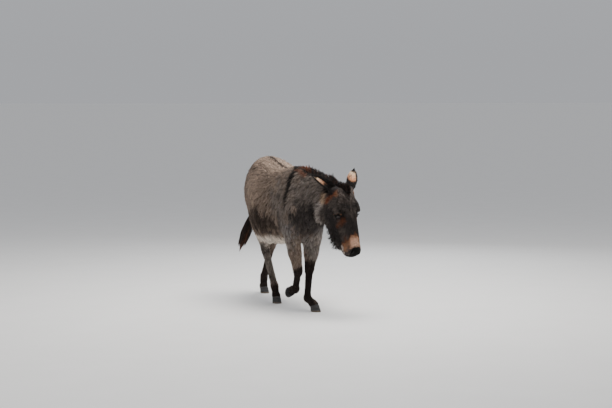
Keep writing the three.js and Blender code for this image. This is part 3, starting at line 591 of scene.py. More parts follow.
# %% Nostrils
points, normals = points_of(skin), normals_of(skin)
for side, centre in zip((1, -1), NOSTRILS):
    out = (HEAD_AXES @ Vector((0.45, side * 0.75, 0.45))).normalized()
    long = HEAD_AXES @ Vector((0.62, side * -0.1, -0.78))
    long = (long - out * long.dot(out)).normalized()
    short = out.cross(long)
    rel = points - np.array(centre)
    a, b, c = (rel @ np.array(v) for v in (long, short, out))
    b = b + 0.18 * a * a / (20 * MM)  # bent like a comma
    reach = np.hypot(a / (19 * MM), b / (7.5 * MM))
    hole = ease((1.12 - reach) / 0.5) * 15 * MM
    rim = hump(reach, 1.35, 0.3) * 2.6 * MM
    near = (np.linalg.norm(rel, axis=1) < 45 * MM) & (c > -25 * MM)
    points += np.outer(near * (rim - hole), out)
say("nostrils")


# %% Lips
FAR = 9.0  # metres, further than any place on the animal
TINY = 1e-12  # so that a line from a place to itself has something to divide by


def gap_to_line(points, places, radii=None):
    """Distance to a line through places; with radii to the skin of a line that thick, negative inside."""
    radii = np.zeros(len(places)) if radii is None else radii
    best = np.full(len(points), FAR)
    for p, q, r0, r1 in zip(places[:-1], places[1:], radii[:-1], radii[1:]):
        along = np.clip((points - p) @ (q - p) / ((q - p) @ (q - p) + TINY), 0, 1)
        away = np.linalg.norm(points - p - along[:, None] * (q - p), axis=1)
        best = np.minimum(best, away - (r0 + (r1 - r0) * along))
    return best


lips = gap_to_line(points, LIP_LINE)
groove = hump(lips, 0, 2.6 * MM) * 6 * MM
roll = hump(lips, 8 * MM, 4 * MM) * 1.2 * MM
points += normals * (roll - groove)[:, None]
move_points(skin, points)
pick(skin)
bpy.ops.object.shade_smooth()
say("lips")

# %% [markdown]
# ## Markings
#
# A marking is a brush stroke of paint: a line of places with a radius at each, an edge that is hard or
# soft, and a colour. The same strokes paint the skin and every tuft at its root, so they always agree. A
# little waviness in the distances keeps the edges from looking drawn with a compass.
# Some strokes are painted light and painted shade: the back is lightened, and the lower flank, the underside
# of the neck, the chest and the cheeks are darkened.

# %% Paints
def paint(red, green, blue):
    """A colour as a painter would mix it, from 0 to 255, turned into the linear light of shaders."""
    c = np.array([red, green, blue]) / 255
    return np.where(c < 0.04045, c / 12.92, ((c + 0.055) / 1.055) ** 2.4)


TAUPE = paint(124, 109, 98)
# the next two taupes carry painted light and painted shade besides the coat's tone: the paler one lights the
# back, the deeper one shades the lower flank
TAUPE_WITH_PAINTED_LIGHT = paint(150, 132, 118)
TAUPE_WITH_PAINTED_SHADE = paint(52, 43, 38)
GREY = paint(106, 98, 93)
PALE_GREY = paint(112, 110, 112)
ASH = paint(82, 74, 70)
SLATE = paint(60, 55, 54)
CHARCOAL = paint(42, 38, 38)
BLACK = paint(20, 17, 16)
BROWN_BLACK = paint(40, 31, 28)
CREAM = paint(222, 210, 198)
SILVER = paint(146, 138, 133)
CHESTNUT = paint(112, 66, 44)
RUST = paint(98, 56, 34)
TAN = paint(168, 120, 88)
FAWN = paint(160, 136, 112)
PEACH = paint(226, 184, 158)
EAR_CREAM = paint(238, 206, 176)
EAR_ORANGE = paint(206, 146, 108)
say(f"the darkest paint is {BLACK.mean():.3f} and the palest {CREAM.mean():.2f} in linear light")


# %% Waves for natural edges
def waves(points, size, seed):
    """A smooth field from -1 to 1 whose bumps are about `size` metres wide."""
    luck = np.random.RandomState(seed)
    total = np.zeros(len(points))
    for _ in range(6):
        way = luck.normal(size=3)
        way *= 2 * math.pi / size * luck.uniform(0.6, 1.5) / np.linalg.norm(way)
        total += np.sin(points @ way + luck.uniform(0, 6.28))
    return total / 3.2  # six waves seldom add up to more


# %% A stroke of paint
THIN = 32  # mm; a line thinner than this is first laid on the skin
ONE_SIDE = (1,)
markings_and_painted_shading = []
hide = surface_of(skin)


def mark(colour, soft, line, strength=1.0, sides=(1, -1), ruled=here):
    """line holds (place, radius) in millimetres; it is painted on both sides unless one is named."""
    if len(line) == 1:
        line = line * 2  # a dot is a line from a place to itself
    radii = [r for _, r in line]
    for side in sides:
        places = [ruled(x, y * side, z) for (x, y, z), _ in line]
        if max(radii) < THIN:
            places = [hide.find_nearest(p)[0] for p in places]
        markings_and_painted_shading.append((colour, soft * MM, np.array([[*p] for p in places]), np.array(radii) * MM, strength))


# %% Broad tones of the body and the neck, with painted light and painted shade
# painted light along the top of the back and the upper flank, and painted shade low on the flank, over a coat
# that is a little paler above
mark(TAUPE_WITH_PAINTED_LIGHT, 90, [((-640, 40, 1150), 90), ((-300, 60, 1080), 80), ((0, 40, 1080), 60)])
mark(TAUPE_WITH_PAINTED_SHADE, 210, [((-540, 250, 660), 60), ((-300, 310, 700), 110), ((-70, 260, 660), 90)])
mark(TAUPE_WITH_PAINTED_LIGHT, 120, [((-480, 220, 960), 110), ((-300, 250, 900), 90)], 0.85)
mark(GREY, 170, [((20, 180, 900), 70), ((90, 160, 740), 110), ((90, 110, 600), 90)])
# more painted shade along the lower flank
mark(TAUPE_WITH_PAINTED_SHADE, 130, [((-300, 270, 680), 60), ((-190, 236, 670), 70), ((-80, 194, 670), 56)], 0.9)
mark(GREY, 150, [((60, 0, 0), 200), ((250, 0, 0), 190), ((400, 0, 0), 160)], sides=ONE_SIDE, ruled=on_neck)
# The underside and lower sides of the neck are darkened: partly the coat's darker hair there, partly painted
# shadow cast by the head
mark(SLATE, 110, [((90, 0, -190), 90), ((380, 0, -130), 70)], 0.9, ONE_SIDE, on_neck)
mark(SLATE, 120, [((120, 110, -60), 50), ((340, 90, -60), 60)], 0.6, ruled=on_neck)
mark(CHARCOAL, 110, [((250, 100, -110), 50), ((380, 80, -90), 50)], 0.75, ruled=on_neck)
mark(CHARCOAL, 110, [((150, 128, -130), 44), ((260, 70, -120), 60)], 0.8, ruled=on_neck)
mark(CHARCOAL, 80, [((140, 90, -190), 34), ((170, 30, -190), 44)], 0.7, ruled=on_neck)
mark(CHARCOAL * 0.5, 100, [((165, 120, -110), 60), ((250, 72, -105), 72)], 0.85, ruled=on_neck)
# painted shade in the crease behind the shoulder
mark(SLATE, 60, [((60, 200, 760), 26), ((30, 190, 640), 30)], 0.6)
mark(PALE_GREY, 80, [((107, 142, 610), 40), ((150, 124, 632), 40)], 0.6)
# the front of the chest is darkened: partly darker hair, partly painted shadow under the head
mark(SLATE, 70, [((215, 30, 760), 50), ((190, 30, 640), 70)], 0.6)
mark(CREAM, 44, [
    ((-580, 0, 450), 70), ((-390, 0, 434), 224), ((-240, 0, 440), 222), ((-110, 0, 472), 150),
    ((-40, 0, 506), 96),
], 0.9, ONE_SIDE)
mark(SILVER, 60, [((90, 110, 610), 44), ((90, 100, 520), 56), ((110, 80, 420), 40)], 0.85)
mark(SILVER, 40, [((90, 30, 560), 54), ((90, 30, 470), 34)], 0.85)
mark(SILVER, 30, [((-560, 40, 620), 60), ((-620, 40, 560), 50)], 0.7)
mark(GREY * 0.6, 50, [((-500, 96, 480), 40), ((-520, 92, 404), 44)], 0.85)
say(f"{len(markings_and_painted_shading)} broad shades")

# %% The stripe down the back and the one across the shoulders
mark(BROWN_BLACK, 9, [
    ((-868, 0, 960), 17), ((-770, 0, 1108), 14), ((-640, 3, 1146), 13), ((-530, 0, 1128), 13),
    ((-390, 0, 1088), 12), ((-240, 0, 1062), 12), ((-110, 0, 1062), 13), ((0, 0, 1082), 18),
], 0.9, ONE_SIDE)
SHOULDER_STRIPE = [
    ((0, 0, 1086), 20), ((56, -14, 1082), 21), ((95, -50, 1054), 20), ((109, -79, 1033), 19),
    ((117, -98, 996), 18), ((125, -113, 959), 17), ((128, -126, 915), 16), ((124, -136, 877), 14),
    ((138, -146, 841), 11), ((163, -159, 798), 7),
]
mark(BLACK, 9, SHOULDER_STRIPE, 0.95, ONE_SIDE)
mark(BLACK, 12, [((x + 0.1 * y, 8 - y, z), r + 3) for (x, y, z), r in SHOULDER_STRIPE], 0.95, ONE_SIDE)
mark(CHESTNUT, 30, [((110, -8, 1090), 22), ((180, 4, 1084), 22)], 0.7, ONE_SIDE)
mark(BLACK, 12, [((0, 0, 196), 16), ((200, 0, 172), 22), ((430, 0, 96), 22)], 0.9, ONE_SIDE, on_neck)
say(f"{len(markings_and_painted_shading)} markings with the stripes")

# %% Legs, dark from the knee or the fetlock down
mark(BROWN_BLACK, 46, [((72, 64, 330), 64), ((106, 38, 92), 62), ((190, 60, 30), 60)], 1.0, ONE_SIDE)
mark(BROWN_BLACK, 24, [
    ((200, -66, 300), 44), ((150, -60, 262), 44), ((48, -34, 158), 60), ((-50, -50, 130), 60),
], 1.0, ONE_SIDE)
mark(BROWN_BLACK, 60, [((-905, 95, 330), 40), ((-1000, 80, 138), 60), ((-972, 76, 20), 60)], 0.9, ONE_SIDE)
mark(GREY * 0.75, 40, [((-560, -80, 420), 60), ((-440, -50, 200), 50)], 0.8, ONE_SIDE)
mark(BROWN_BLACK, 24, [((-394, -46, 112), 40), ((-366, -44, 50), 46)], 1.0, ONE_SIDE)
mark(BLACK, 5, [((78, 30, 436), 9), ((80, 30, 424), 7)], 0.9, ONE_SIDE)
say(f"{len(markings_and_painted_shading)} markings with the legs")

# %% The head
mark(ASH, 60, [((0, 0, -60), 150), ((240, 0, -120), 190), ((420, 0, -80), 100)], 1.0, ONE_SIDE, on_head)
# The cheek and the side of the jaw are darkened: partly their own darker hair, partly painted shade
mark(CHARCOAL, 56, [((160, 96, -110), 62), ((260, 90, -140), 74), ((350, 60, -130), 62)], 0.9, ruled=on_head)
CHEEK_IN_PAINTED_SHADE = [((221, 92, -109), 36), ((290, 66, -145), 46), ((350, 60, -120), 36)]
mark(CHARCOAL * 0.8, 60, CHEEK_IN_PAINTED_SHADE, 0.8, ruled=on_head)
mark(CHARCOAL, 44, [((230, 40, -10), 46), ((330, 24, -10), 36)], 0.8, ruled=on_head)
BROW_STREAKS = (  # the lower end, and how far the upper one leans inwards
    (150, 30, 16, 0), (146, 50, 10, 10), (150, 68, -4, 18), (140, 84, -30, 20), (170, 14, 20, 0),
)
for s, w, v, lean in BROW_STREAKS:
    streak = [((s, w, v), 4), ((s - 34, w - lean * 0.3, v + 6), 3.5), ((s - 64, w - lean, v + 10), 2)]
    mark(BLACK, 10, streak, 0.8, ruled=on_head)
mark(CHARCOAL, 40, [((200, 40, -300), 60), ((330, 30, -260), 56)], 0.75, ruled=on_head)
mark(SILVER, 26, [
    ((50, 106, -166), 20), ((86, 98, -215), 28), ((124, 84, -256), 27), ((160, 58, -292), 20),
], 1.0, ruled=on_head)
mark(BLACK, 16, [((178, 92, -62), 18), ((198, 92, -42), 23), ((212, 68, -8), 16)], 0.95, ruled=on_head)
mark(BLACK, 16, [((166, 84, -4), 14), ((176, 60, 6), 12)], 0.8, ruled=on_head)
mark(CHARCOAL, 14, [((120, 76, 10), 8), ((132, 40, 22), 8), ((150, 10, 22), 8)], 0.7, ruled=on_head)
mark(TAN, 6, [((170, 98, -60), 4), ((178, 90, -34), 4), ((188, 76, -14), 3)], 0.6, ruled=on_head)
mark(RUST, 34, [((226, 62, -12), 10), ((240, 78, -40), 16), ((258, 82, -64), 12)], 0.85, ruled=on_head)
mark(CHESTNUT, 32, [((30, 84, -24), 20), ((38, 93, -58), 27), ((52, 98, -100), 24)], 0.95, ruled=on_head)
mark(BLACK, 24, [((-20, 84, -40), 32), ((6, 92, -76), 27)], 0.95, ruled=on_head)
mark(BLACK, 22, [((-30, 74, -80), 26), ((-12, 60, -30), 22), ((-4, 44, 0), 14)], 0.9, ruled=on_head)
mark(FAWN, 28, [((4, 92, -140), 24), ((40, 98, -150), 22)], 0.85, ruled=on_head)
mark(TAN, 24, [((46, 76, -12), 13)], 0.6, ruled=on_head)
mark(BLACK, 14, [((-20, 0, 12), 20), ((20, 6, 8), 20), ((36, 8, 12), 9)], 0.95, ruled=on_head)
mark(RUST, 34, [((350, 66, -34), 16), ((380, 60, -34), 18), ((400, 66, -66), 14)], 0.9, ruled=on_head)
mark(RUST, 40, [((366, 0, 4), 24), ((374, 34, -12), 22)], 0.7, ruled=on_head)
mark(TAN, 46, [((388, 0, 0), 32), ((406, 30, -20), 30), ((420, 52, -66), 20)], 0.95, ruled=on_head)
mark(PEACH, 36, [((392, 4, 0), 26), ((416, 16, -14), 26)], 1.0, ruled=on_head)
mark(CREAM, 12, [((414, 60, -92), 14), ((436, 50, -104), 11), ((456, 44, -92), 7)], 0.7, ruled=on_head)
mark(BLACK, 14, [((458, 14, -14), 25), ((474, 16, -34), 30), ((482, 18, -70), 26)], 1.0, ruled=on_head)
mark(BLACK, 10, [((459, 34, -40), 22)], 1.0, ruled=on_head)
mark(CHARCOAL, 10, [((476, 0, -104), 26), ((440, 44, -112), 9), ((416, 52, -108), 4)], 0.9, ruled=on_head)
say(f"{len(markings_and_painted_shading)} markings in all")

# %% The ears: dark behind, black at the rim and the tip, and pale inside down to a dark pit
EAR_EDGE = [  # share of the length, angle at which the back ends
    (0.1, 2.1), (0.2, 1.97), (0.3, 1.72), (0.4, 1.5), (0.5, 1.34), (0.7, 1.14), (0.9, 0.9), (1, 0.5),
]
EAR_PALE = {"ear_left": (0.94, 0.7), "ear_right": (0.28, 0.34)}  # how far the pale hair reaches to the edges


def blend(colour, other, share):
    return colour + np.asarray(share)[:, None] * (other - colour)


def ear_colour(colour, points, normals):
    """The colour of the coat, changed wherever a point is on an ear."""
    for name in EARS:
        share, signed, inner, near = on_ear(name, points, normals)
        angle = np.abs(signed)
        tip = ease((share - 0.84) / 0.08)
        edge = ease((angle - 0.9) / 0.35) * ease((share - 0.1) / 0.2)
        back = blend(CHARCOAL, GREY, ease(1 - angle / 0.9) * (1 - tip))
        back = blend(back, BLACK, np.maximum(tip, edge * 0.8))
        pale = blend(EAR_ORANGE, EAR_CREAM, ease((share - 0.42) / 0.4))
        pit = ease((0.52 - share) / 0.1) * ease((share - 0.14) / 0.1)
        dark = np.maximum(pit, ease((share - 0.77) / 0.06))
        reach = angle / np.interp(share, *zip(*EAR_EDGE))
        margin = ease((reach - np.where(signed > 0, EAR_PALE[name][1], EAR_PALE[name][0])) / 0.16)
        pale = blend(pale, BLACK, np.maximum(dark, margin))
        shade = np.where(inner[:, None], pale, back)
        colour = np.where(near[:, None], shade, colour)
    return colour


# %% The colour of the coat at any place
def coat_colour(points, normals):
    """All markings and painted shading in turn, each with a ragged edge; then a little unevenness, and the
    ears.
    """
    colour = np.tile(TAUPE, (len(points), 1))
    ragged = waves(points, 60 * MM, 1) * 0.6 + waves(points, 22 * MM, 2) * 0.4
    for paint_colour, soft, places, radii, strength in markings_and_painted_shading:
        gap = gap_to_line(points, places, radii) + ragged * soft * 0.45
        colour = blend(colour, paint_colour, ease(0.5 - gap / soft) * strength)
    broad = waves(points, 160 * MM, 3) * 0.09 + waves(points, 34 * MM, 4) * 0.09
    return ear_colour(colour * (1 + broad)[:, None], points, normals)


# %% Paint the skin
SKIN_SHADE = 0.72  # the skin lies in the shade of its own hair


def colour_attribute(o, name, colours):
    """Keeps a colour for every corner point, under a name that a finish can read."""
    attribute = o.data.attributes.new(name, "FLOAT_COLOR", "POINT")
    rgba = np.ones((len(colours), 4), np.float32)
    rgba[:, :3] = np.clip(colours, 0, 1)
    attribute.data.foreach_set("color", rgba.ravel())


colour_attribute(skin, "coat", coat_colour(points_of(skin), normals_of(skin)) * SKIN_SHADE)
say("the skin is painted")

# %% [markdown]
# ## The coat, tuft by tuft
#
# Hair of this length doesn't lie singly: it sticks together in pointed locks that overlap like thatch.
# Each lock here is a thin closed spike of a few triangles. It is rooted in the skin, leans over within
# its first third and then follows the body, because its middle and tip are laid over the skin again.
# Neighbours lean towards a shared tip, which gives the coat its ragged, clumped look. A coat this size
# can't be modelled hair by hair with operators, so the locks are joined meshes made from arrays.

# %% The skin's triangles
edit_whole(skin)
bpy.ops.mesh.quads_convert_to_tris()
bpy.ops.object.mode_set(mode="OBJECT")
FACES = np.empty(len(skin.data.polygons) * 3, np.int32)
skin.data.polygons.foreach_get("vertices", FACES)
FACES = FACES.reshape(-1, 3)
skin_points, skin_normals = points_of(skin), normals_of(skin)
corners = skin_points[FACES]
AREAS = np.linalg.norm(np.cross(corners[:, 1] - corners[:, 0], corners[:, 2] - corners[:, 0]), axis=1) / 2
CENTRES = corners.mean(1)
surface = BVHTree.FromPolygons(skin_points.tolist(), FACES.tolist())
say(f"the skin has {len(FACES)} triangles and {AREAS.sum():.2f} square metres")


# %% Split the skin into coat regions
THROAT = here(400, 150, 892), (0.826, 0.25, -0.504)  # a place between neck and head, and the way forward
SHOULDER = here(96, 20, 850), (0.9, 0.12, 0.3)


def in_front_of(place, way):
    return (CENTRES - np.array(place)) @ np.array(way) > 0


x, y, z = ((CENTRES - np.array(WITHERS)) / MM).T
is_ear = np.zeros(len(FACES), bool)
for name in EARS:
    share, _, _, near = on_ear(name, CENTRES, np.zeros_like(CENTRES))
    is_ear |= near & (share > 0.12)
low = (z < 440) | ((z < np.where(x > -300, 500, 560)) & ((x > 20) | (x < -520)))
REGIONS = [  # a face goes to the first that it belongs to
    ("ears", is_ear),
    ("face", in_front_of(*THROAT) & (x > 330)),
    ("tail", (x < -893) & (np.abs(y + 40) < 90) & (z > 440)),
    ("legs_front", low & (x > -260)),
    ("legs_hind", low),
    ("neck", in_front_of(*SHOULDER) & (z > 560)),
    ("shoulder", x > -190),
    ("flank", x > -480),
    ("rump_left", y > 0),
    ("rump_right", y <= 0),
]
region_of = np.full(len(FACES), -1)
for number, (name, belongs) in enumerate(REGIONS):
    region_of[belongs & (region_of < 0)] = number
say(f"{len(REGIONS)} regions; the largest has {np.bincount(region_of).max()} triangles")

# %% Unwrap each region, so that every tuft has a place of its own on a flat sheet
skin.data.uv_layers.new(name="places")
for number, (name, _) in enumerate(REGIONS):
    edit_faces(skin, region_of == number)
    bpy.ops.uv.smart_project(angle_limit=math.radians(66), island_margin=0.002)
    bpy.ops.object.mode_set(mode="OBJECT")
flat = np.empty(len(FACES) * 6, np.float32)
skin.data.uv_layers["places"].data.foreach_get("uv", flat)
SHEET = flat.reshape(-1, 3, 2)
skin.data.uv_layers.remove(skin.data.uv_layers["places"])
say("regions unwrapped")


# %% Directions, and places on the skin
def unit(v):
    return v / np.maximum(np.linalg.norm(v, axis=-1, keepdims=True), 1e-9)


def flatten(way, normal):
    """The part of a direction that lies in the skin."""
    return unit(way - normal * (way * normal).sum(1)[:, None])


def over_skin(points, height):
    """The same places, laid on the skin and lifted by height; and the skin's normals there."""
    laid, ways = np.empty_like(points), np.empty_like(points)
    for i, p in enumerate(points):
        laid[i], ways[i] = surface.find_nearest(p)[:2]
    return laid + ways * height[:, None], ways


def root_in_skin(points):
    """The nearest places on the skin, with normals and places on the flat sheet."""
    found = [surface.find_nearest(p)[:3] for p in points]
    place, normal = (np.array([f[i] for f in found]) for i in (0, 1))
    face = np.array([f[2] for f in found])
    a, b, c = (skin_points[FACES[face, i]] - place for i in range(3))
    share = np.stack([np.linalg.norm(np.cross(p, q), axis=1) for p, q in ((b, c), (c, a), (a, b))], 1)
    share /= share.sum(1, keepdims=True)
    return place, normal, (SHEET[face] * share[:, :, None]).sum(1)


# %% Scatter roots evenly
luck = np.random.RandomState(11)


def scatter(faces, per_area):
    """Roots on some of the skin's faces, evenly by area times density: place, normal, sheet."""
    load = np.cumsum(AREAS[faces] * per_area)
    count = int(load[-1])
    steps = (np.arange(count) + luck.uniform(0.1, 0.9, count)) * load[-1] / count
    face = faces[np.minimum(np.searchsorted(load, steps), len(faces) - 1)]
    u, v = luck.uniform(size=(2, count))
    flip = u + v > 1
    u, v = np.where(flip, 1 - u, u), np.where(flip, 1 - v, v)
    share = np.stack([1 - u - v, u, v], 1)[:, :, None]
    normal = (skin_normals[FACES[face]] * share).sum(1)
    return (skin_points[FACES[face]] * share).sum(1), unit(normal), (SHEET[face] * share).sum(1)


# %% The shape of a lock
PATCH = 3 * MM  # how wide a tuft's own patch of the flat sheet is


def lock_arrays(paths, ups, widths, colours, sheet, flatness=0.5):
    """Bent spikes: an edge in the skin, a ring of three at each middle place of the path, and a tip."""
    rings = paths.shape[1] - 2
    ways = unit(np.gradient(paths, axis=1))
    across = unit(np.cross(ups, ways))
    raised = np.cross(ways, across)
    shape = np.array([0.55] + [1 - 0.4 * (i / (rings + 1)) ** 1.5 for i in range(rings)])
    half = widths[:, None, None] * shape[None, :, None] / 2
    left, right = paths[:, :-1] - across[:, :-1] * half, paths[:, :-1] + across[:, :-1] * half
    top = paths[:, :-1] + raised[:, :-1] * half * 2 * flatness
    ringed = np.stack([left[:, 1:], right[:, 1:], top[:, 1:]], 2).reshape(len(paths), rings * 3, 3)
    points = np.concatenate([left[:, :1], right[:, :1], ringed, paths[:, -1:]], 1)
    tip = 2 + 3 * rings
    faces = [(1, 0, 4), (1, 4, 3), (0, 2, 4), (0, 1, 3), (0, 3, 2)]
    for r in range(rings):
        for i, j in ((0, 1), (1, 2), (2, 0)):
            a, b = 2 + 3 * r + i, 2 + 3 * r + j
            faces += [(a, b, tip)] if r == rings - 1 else [(a, b, a + 3), (b, b + 3, a + 3)]
    steps = np.linspace(-1, 1, rings + 2)
    patch = [(-0.5, -1), (0.5, -1)]
    for step in steps[1:-1]:
        patch += [(-0.9, step), (0.9, step), (0, step)]
    patch = np.array(patch + [(0, 1)])
    shades = np.repeat(colours, [2] + [3] * rings + [1], axis=1)
    return points, np.array(faces), sheet[:, None] + patch * PATCH / 2, shades


def thorn_arrays(paths, ups, widths, colours, sheet):
    """For short hair: an edge in the skin, a ridge and a tip are enough."""
    way = unit(paths[:, 2] - paths[:, 0])
    side = unit(np.cross(ups[:, 0], way)) * widths[:, None] / 2
    points = np.stack([paths[:, 0] - side, paths[:, 0] + side, paths[:, 1], paths[:, 2]], 1)
    faces = np.array([(1, 0, 2), (1, 2, 3), (0, 3, 2), (0, 1, 3)])
    patch = np.array([(-0.9, -1), (0.9, -1), (0, 0), (0, 1)])
    return points, faces, sheet[:, None] + patch * PATCH / 2, colours[:, [0, 0, 1, 2]]


# %% Make a mesh from many locks
def hair_mesh(name, *bunches):
    """One object from arrays of locks; each lock's paint and its patch of the flat sheet go with it."""
    points, faces, places, shades, start = [], [], [], [], 0
    for p, f, uv, c in bunches:
        count, each = p.shape[:2]
        f = (f[None] + (np.arange(count) * each)[:, None, None]).reshape(-1, 3)
        points.append(p.reshape(-1, 3))
        places.append(uv.reshape(-1, 2)[f.ravel()])
        shades.append(c.reshape(-1, 3))
        faces.append(f + start)
        start += count * each
    points, faces, places, shades = (np.concatenate(part) for part in (points, faces, places, shades))
    mesh = bpy.data.meshes.new(name)
    mesh.vertices.add(len(points))
    mesh.vertices.foreach_set("co", points.astype(np.float32).ravel())
    mesh.loops.add(faces.size)
    mesh.loops.foreach_set("vertex_index", faces.astype(np.int32).ravel())
    mesh.polygons.add(len(faces))
    mesh.polygons.foreach_set("loop_start", np.arange(0, faces.size, 3, dtype=np.int32))
    mesh.polygons.foreach_set("use_smooth", np.ones(len(faces), bool))
    mesh.update()
    mesh.uv_layers.new(name="OFBake").data.foreach_set("uv", places.astype(np.float32).ravel())
    o = bpy.data.objects.new(name, mesh)
    bpy.context.scene.collection.objects.link(o)
    colour_attribute(o, "coat", shades)
    say(f"{name}: {sum(len(b[0]) for b in bunches)} locks, {len(faces)} triangles")
    return o


# %% Neighbours share a tip
ALONG_HAIR = 0.88  # how much of a gap along the hair is left out when the nearest leader is sought


def choose_leaders(luck, places, per_clump):
    """One place in so many leads a clump; and a finder of the nearest leaders."""
    count = len(places)
    leaders = luck.choice(count, max(count // per_clump, 1), replace=False)
    finder = KDTree(len(leaders))
    for i, k in enumerate(leaders):
        finder.insert(places[k], i)
    finder.balance()
    return leaders, finder


def gather(place, way, length, per_clump, pull):
    """Tips drawn towards a leader's tip, and a mood from -2 to 2 that a whole clump shares.
    Clumps are long and narrow: a gap along the hair counts for less than one across it."""
    count = len(place)
    middle = place + way * (length * 0.5)[:, None]
    leaders, finder = choose_leaders(luck, middle, per_clump)
    near = np.array([[hit[1] for hit in finder.find_n(m, 4)] for m in middle])
    offset = middle[leaders[near]] - middle[:, None]
    along = (offset * way[:, None]).sum(2)
    best = ((offset**2).sum(2) - ALONG_HAIR * along**2).argmin(1)
    leader = leaders[near[np.arange(count), best]]
    tips = place + way * length[:, None]
    shared = place[leader] + way[leader] * length[leader, None] * 1.05
    return tips + (shared - tips) * pull, np.clip(luck.normal(0, 1, count)[leader], -2, 2)


# %% Roots of one region, and how large their locks are
BARE_EYE, BARE_NOSTRIL, BARE_LIP = 21 * MM, 17 * MM, 4 * MM  # no lock is rooted this near to them
LAYERS = {"ears": 1.9, "face": 1.9, "tail": 2.4, "legs_front": 2.2, "legs_hind": 2.2}
MOST_LAYERS = 3.1  # locks that lie over each other on the body
FINE = 0.76  # locks as wide as the comb says look like feathers


def rooted(name, faces):
    """Places, normals, places on the sheet, the way the hair lies, and depth, length and width."""
    _, sizes = combed(CENTRES[faces])
    density = LAYERS.get(name, MOST_LAYERS) * 2 / (sizes[:, 1] * sizes[:, 2] * FINE)
    place, normal, sheet = scatter(faces, density)
    lie, sizes = combed(place)
    keep = nearest_gap(place, EYES.values()) > BARE_EYE
    keep &= nearest_gap(place, NOSTRILS) > BARE_NOSTRIL
    keep &= gap_to_line(place, LIP_LINE) > BARE_LIP
    place, normal, sheet, lie, sizes = (a[keep] for a in (place, normal, sheet, lie, sizes))
    sizes = sizes * luck.uniform((0.8, 0.7, 0.6), (1.1, 1.3, 0.92), sizes.shape)
    return place, normal, sheet, lie, sizes


# %% Locks that are longer than the rest
def unruly(name, place, normal, depth, length):
    """Half the hair in an ear's hollow is long and stands up, and everywhere a few locks stand out."""
    count = len(place)
    if name == "ears":
        for ear in EARS:
            share, _, inner, near = on_ear(ear, place, normal)
            long = near & inner & (share < 0.85) & (luck.uniform(size=count) < 0.5)
            length = np.where(long, length * 2.6, length)
            depth = np.where(long, depth * 4, depth)
    wild = luck.uniform(size=count) < 0.06
    return np.where(wild, depth * 1.5, depth), np.where(wild, length * 1.35, length)


# %% Grow the coat
SHORT_LOCK = 17 * MM  # up to here a lock needs no rings
BEND_AT, BEND_HEIGHT = 0.42, 0.78  # share of a lock's length, and of its depth
ROOT_SHADE, MIDDLE_SHADE, TIP_SHADE = 0.42, 0.92, 1.25  # roots lie in shadow, tips catch the light


def grown(name, faces):
    """The locks of one region, short and long ones apart."""
    place, normal, sheet, lie, sizes = rooted(name, faces)
    depth, length, width = sizes.T
    depth, length = unruly(name, place, normal, depth, length)
    count = len(place)
    way = flatten(lie + luck.normal(0, 0.16, (count, 3)), normal)
    tips, moods = gather(place, way, length, per_clump=16, pull=0.55)
    bend, bend_up = over_skin(place + (tips - place) * BEND_AT, depth * BEND_HEIGHT)
    tips, tip_up = over_skin(tips, depth * luck.uniform(0.8, 1.12, count) * (1 + 0.13 * moods))
    paths = np.stack([place - normal * MM, bend, tips], 1)
    ups = np.stack([normal, bend_up, tip_up], 1)
    light = 1 + 0.2 * moods + luck.normal(0, 0.09, count)
    colour = coat_colour(place, normal) * np.clip(light, 0.42, 1.7)[:, None]
    shades = np.stack([colour * ROOT_SHADE, colour * MIDDLE_SHADE, colour * TIP_SHADE], 1)
    short = length < SHORT_LOCK
    for those, kind in ((short, thorn_arrays), (~short, lock_arrays)):
        if those.any():
            yield kind(paths[those], ups[those], width[those], shades[those], sheet[those])


coat = []
for number, (name, _) in enumerate(REGIONS):
    coat.append(hair_mesh(f"coat_{name}", *grown(name, np.flatnonzero(region_of == number))))

# %% [markdown]
# ## Long hair: mane, forelock, tail
#
# The mane of this animal is short and stands up like a worn brush, because its hair is stiff. It starts
# on the withers, runs up the crest and falls forward between the ears. The tail is a thin whip with a
# switch of long hair at its end. These locks are longer than the coat's, so they get more bends.

# %% Long locks from roots to tips
def long_locks(roots, tips, bulge, width, dark, light, seed, rings=4, per_clump=9, pull=0.55):
    """Curved locks; bulge is how far the middle is pushed out, and colour runs from dark to light."""
    luck = np.random.RandomState(seed)
    count = len(roots)
    place, normal, sheet = root_in_skin(roots)
    leaders, finder = choose_leaders(luck, tips, per_clump)
    leader = leaders[[finder.find(t)[1] for t in tips]]
    tips = tips + (tips[leader] - tips) * pull * luck.uniform(0.4, 1.2, (count, 1))  # locks cling together
    share = np.linspace(0, 1, rings + 2)[None, :, None]
    start = place - normal * 1.5 * MM
    paths = start[:, None] + (tips - start)[:, None] * share
    paths += bulge[:, None] * np.sin(share * math.pi) + luck.normal(0, 1.2 * MM, paths.shape) * share
    ups = unit(luck.normal(0, 1, (count, 1, 3)) * 0.5 + normal[:, None] + 0 * paths)
    mood = 1 + 0.2 * luck.normal(0, 1, count)[leader] + luck.normal(0, 0.1, count)
    tint = np.clip(luck.normal(0, 0.35, count)[leader] + luck.normal(0, 0.2, count), 0, 1)[:, None]
    dark, light = (np.broadcast_to(c, (count, 3)) for c in (dark, light))
    end = dark + (light - dark) * tint
    # the root end is darkened by a further 0.7: painted shade where the lock leaves the skin
    shades = dark[:, None] * (1 - share) * 0.7 + end[:, None] * share
    shades = shades * np.clip(mood, 0.4, 1.7)[:, None, None]
    widths = width * luck.uniform(0.7, 1.3, count)
    return lock_arrays(paths, ups, widths, shades, sheet, 0.35)


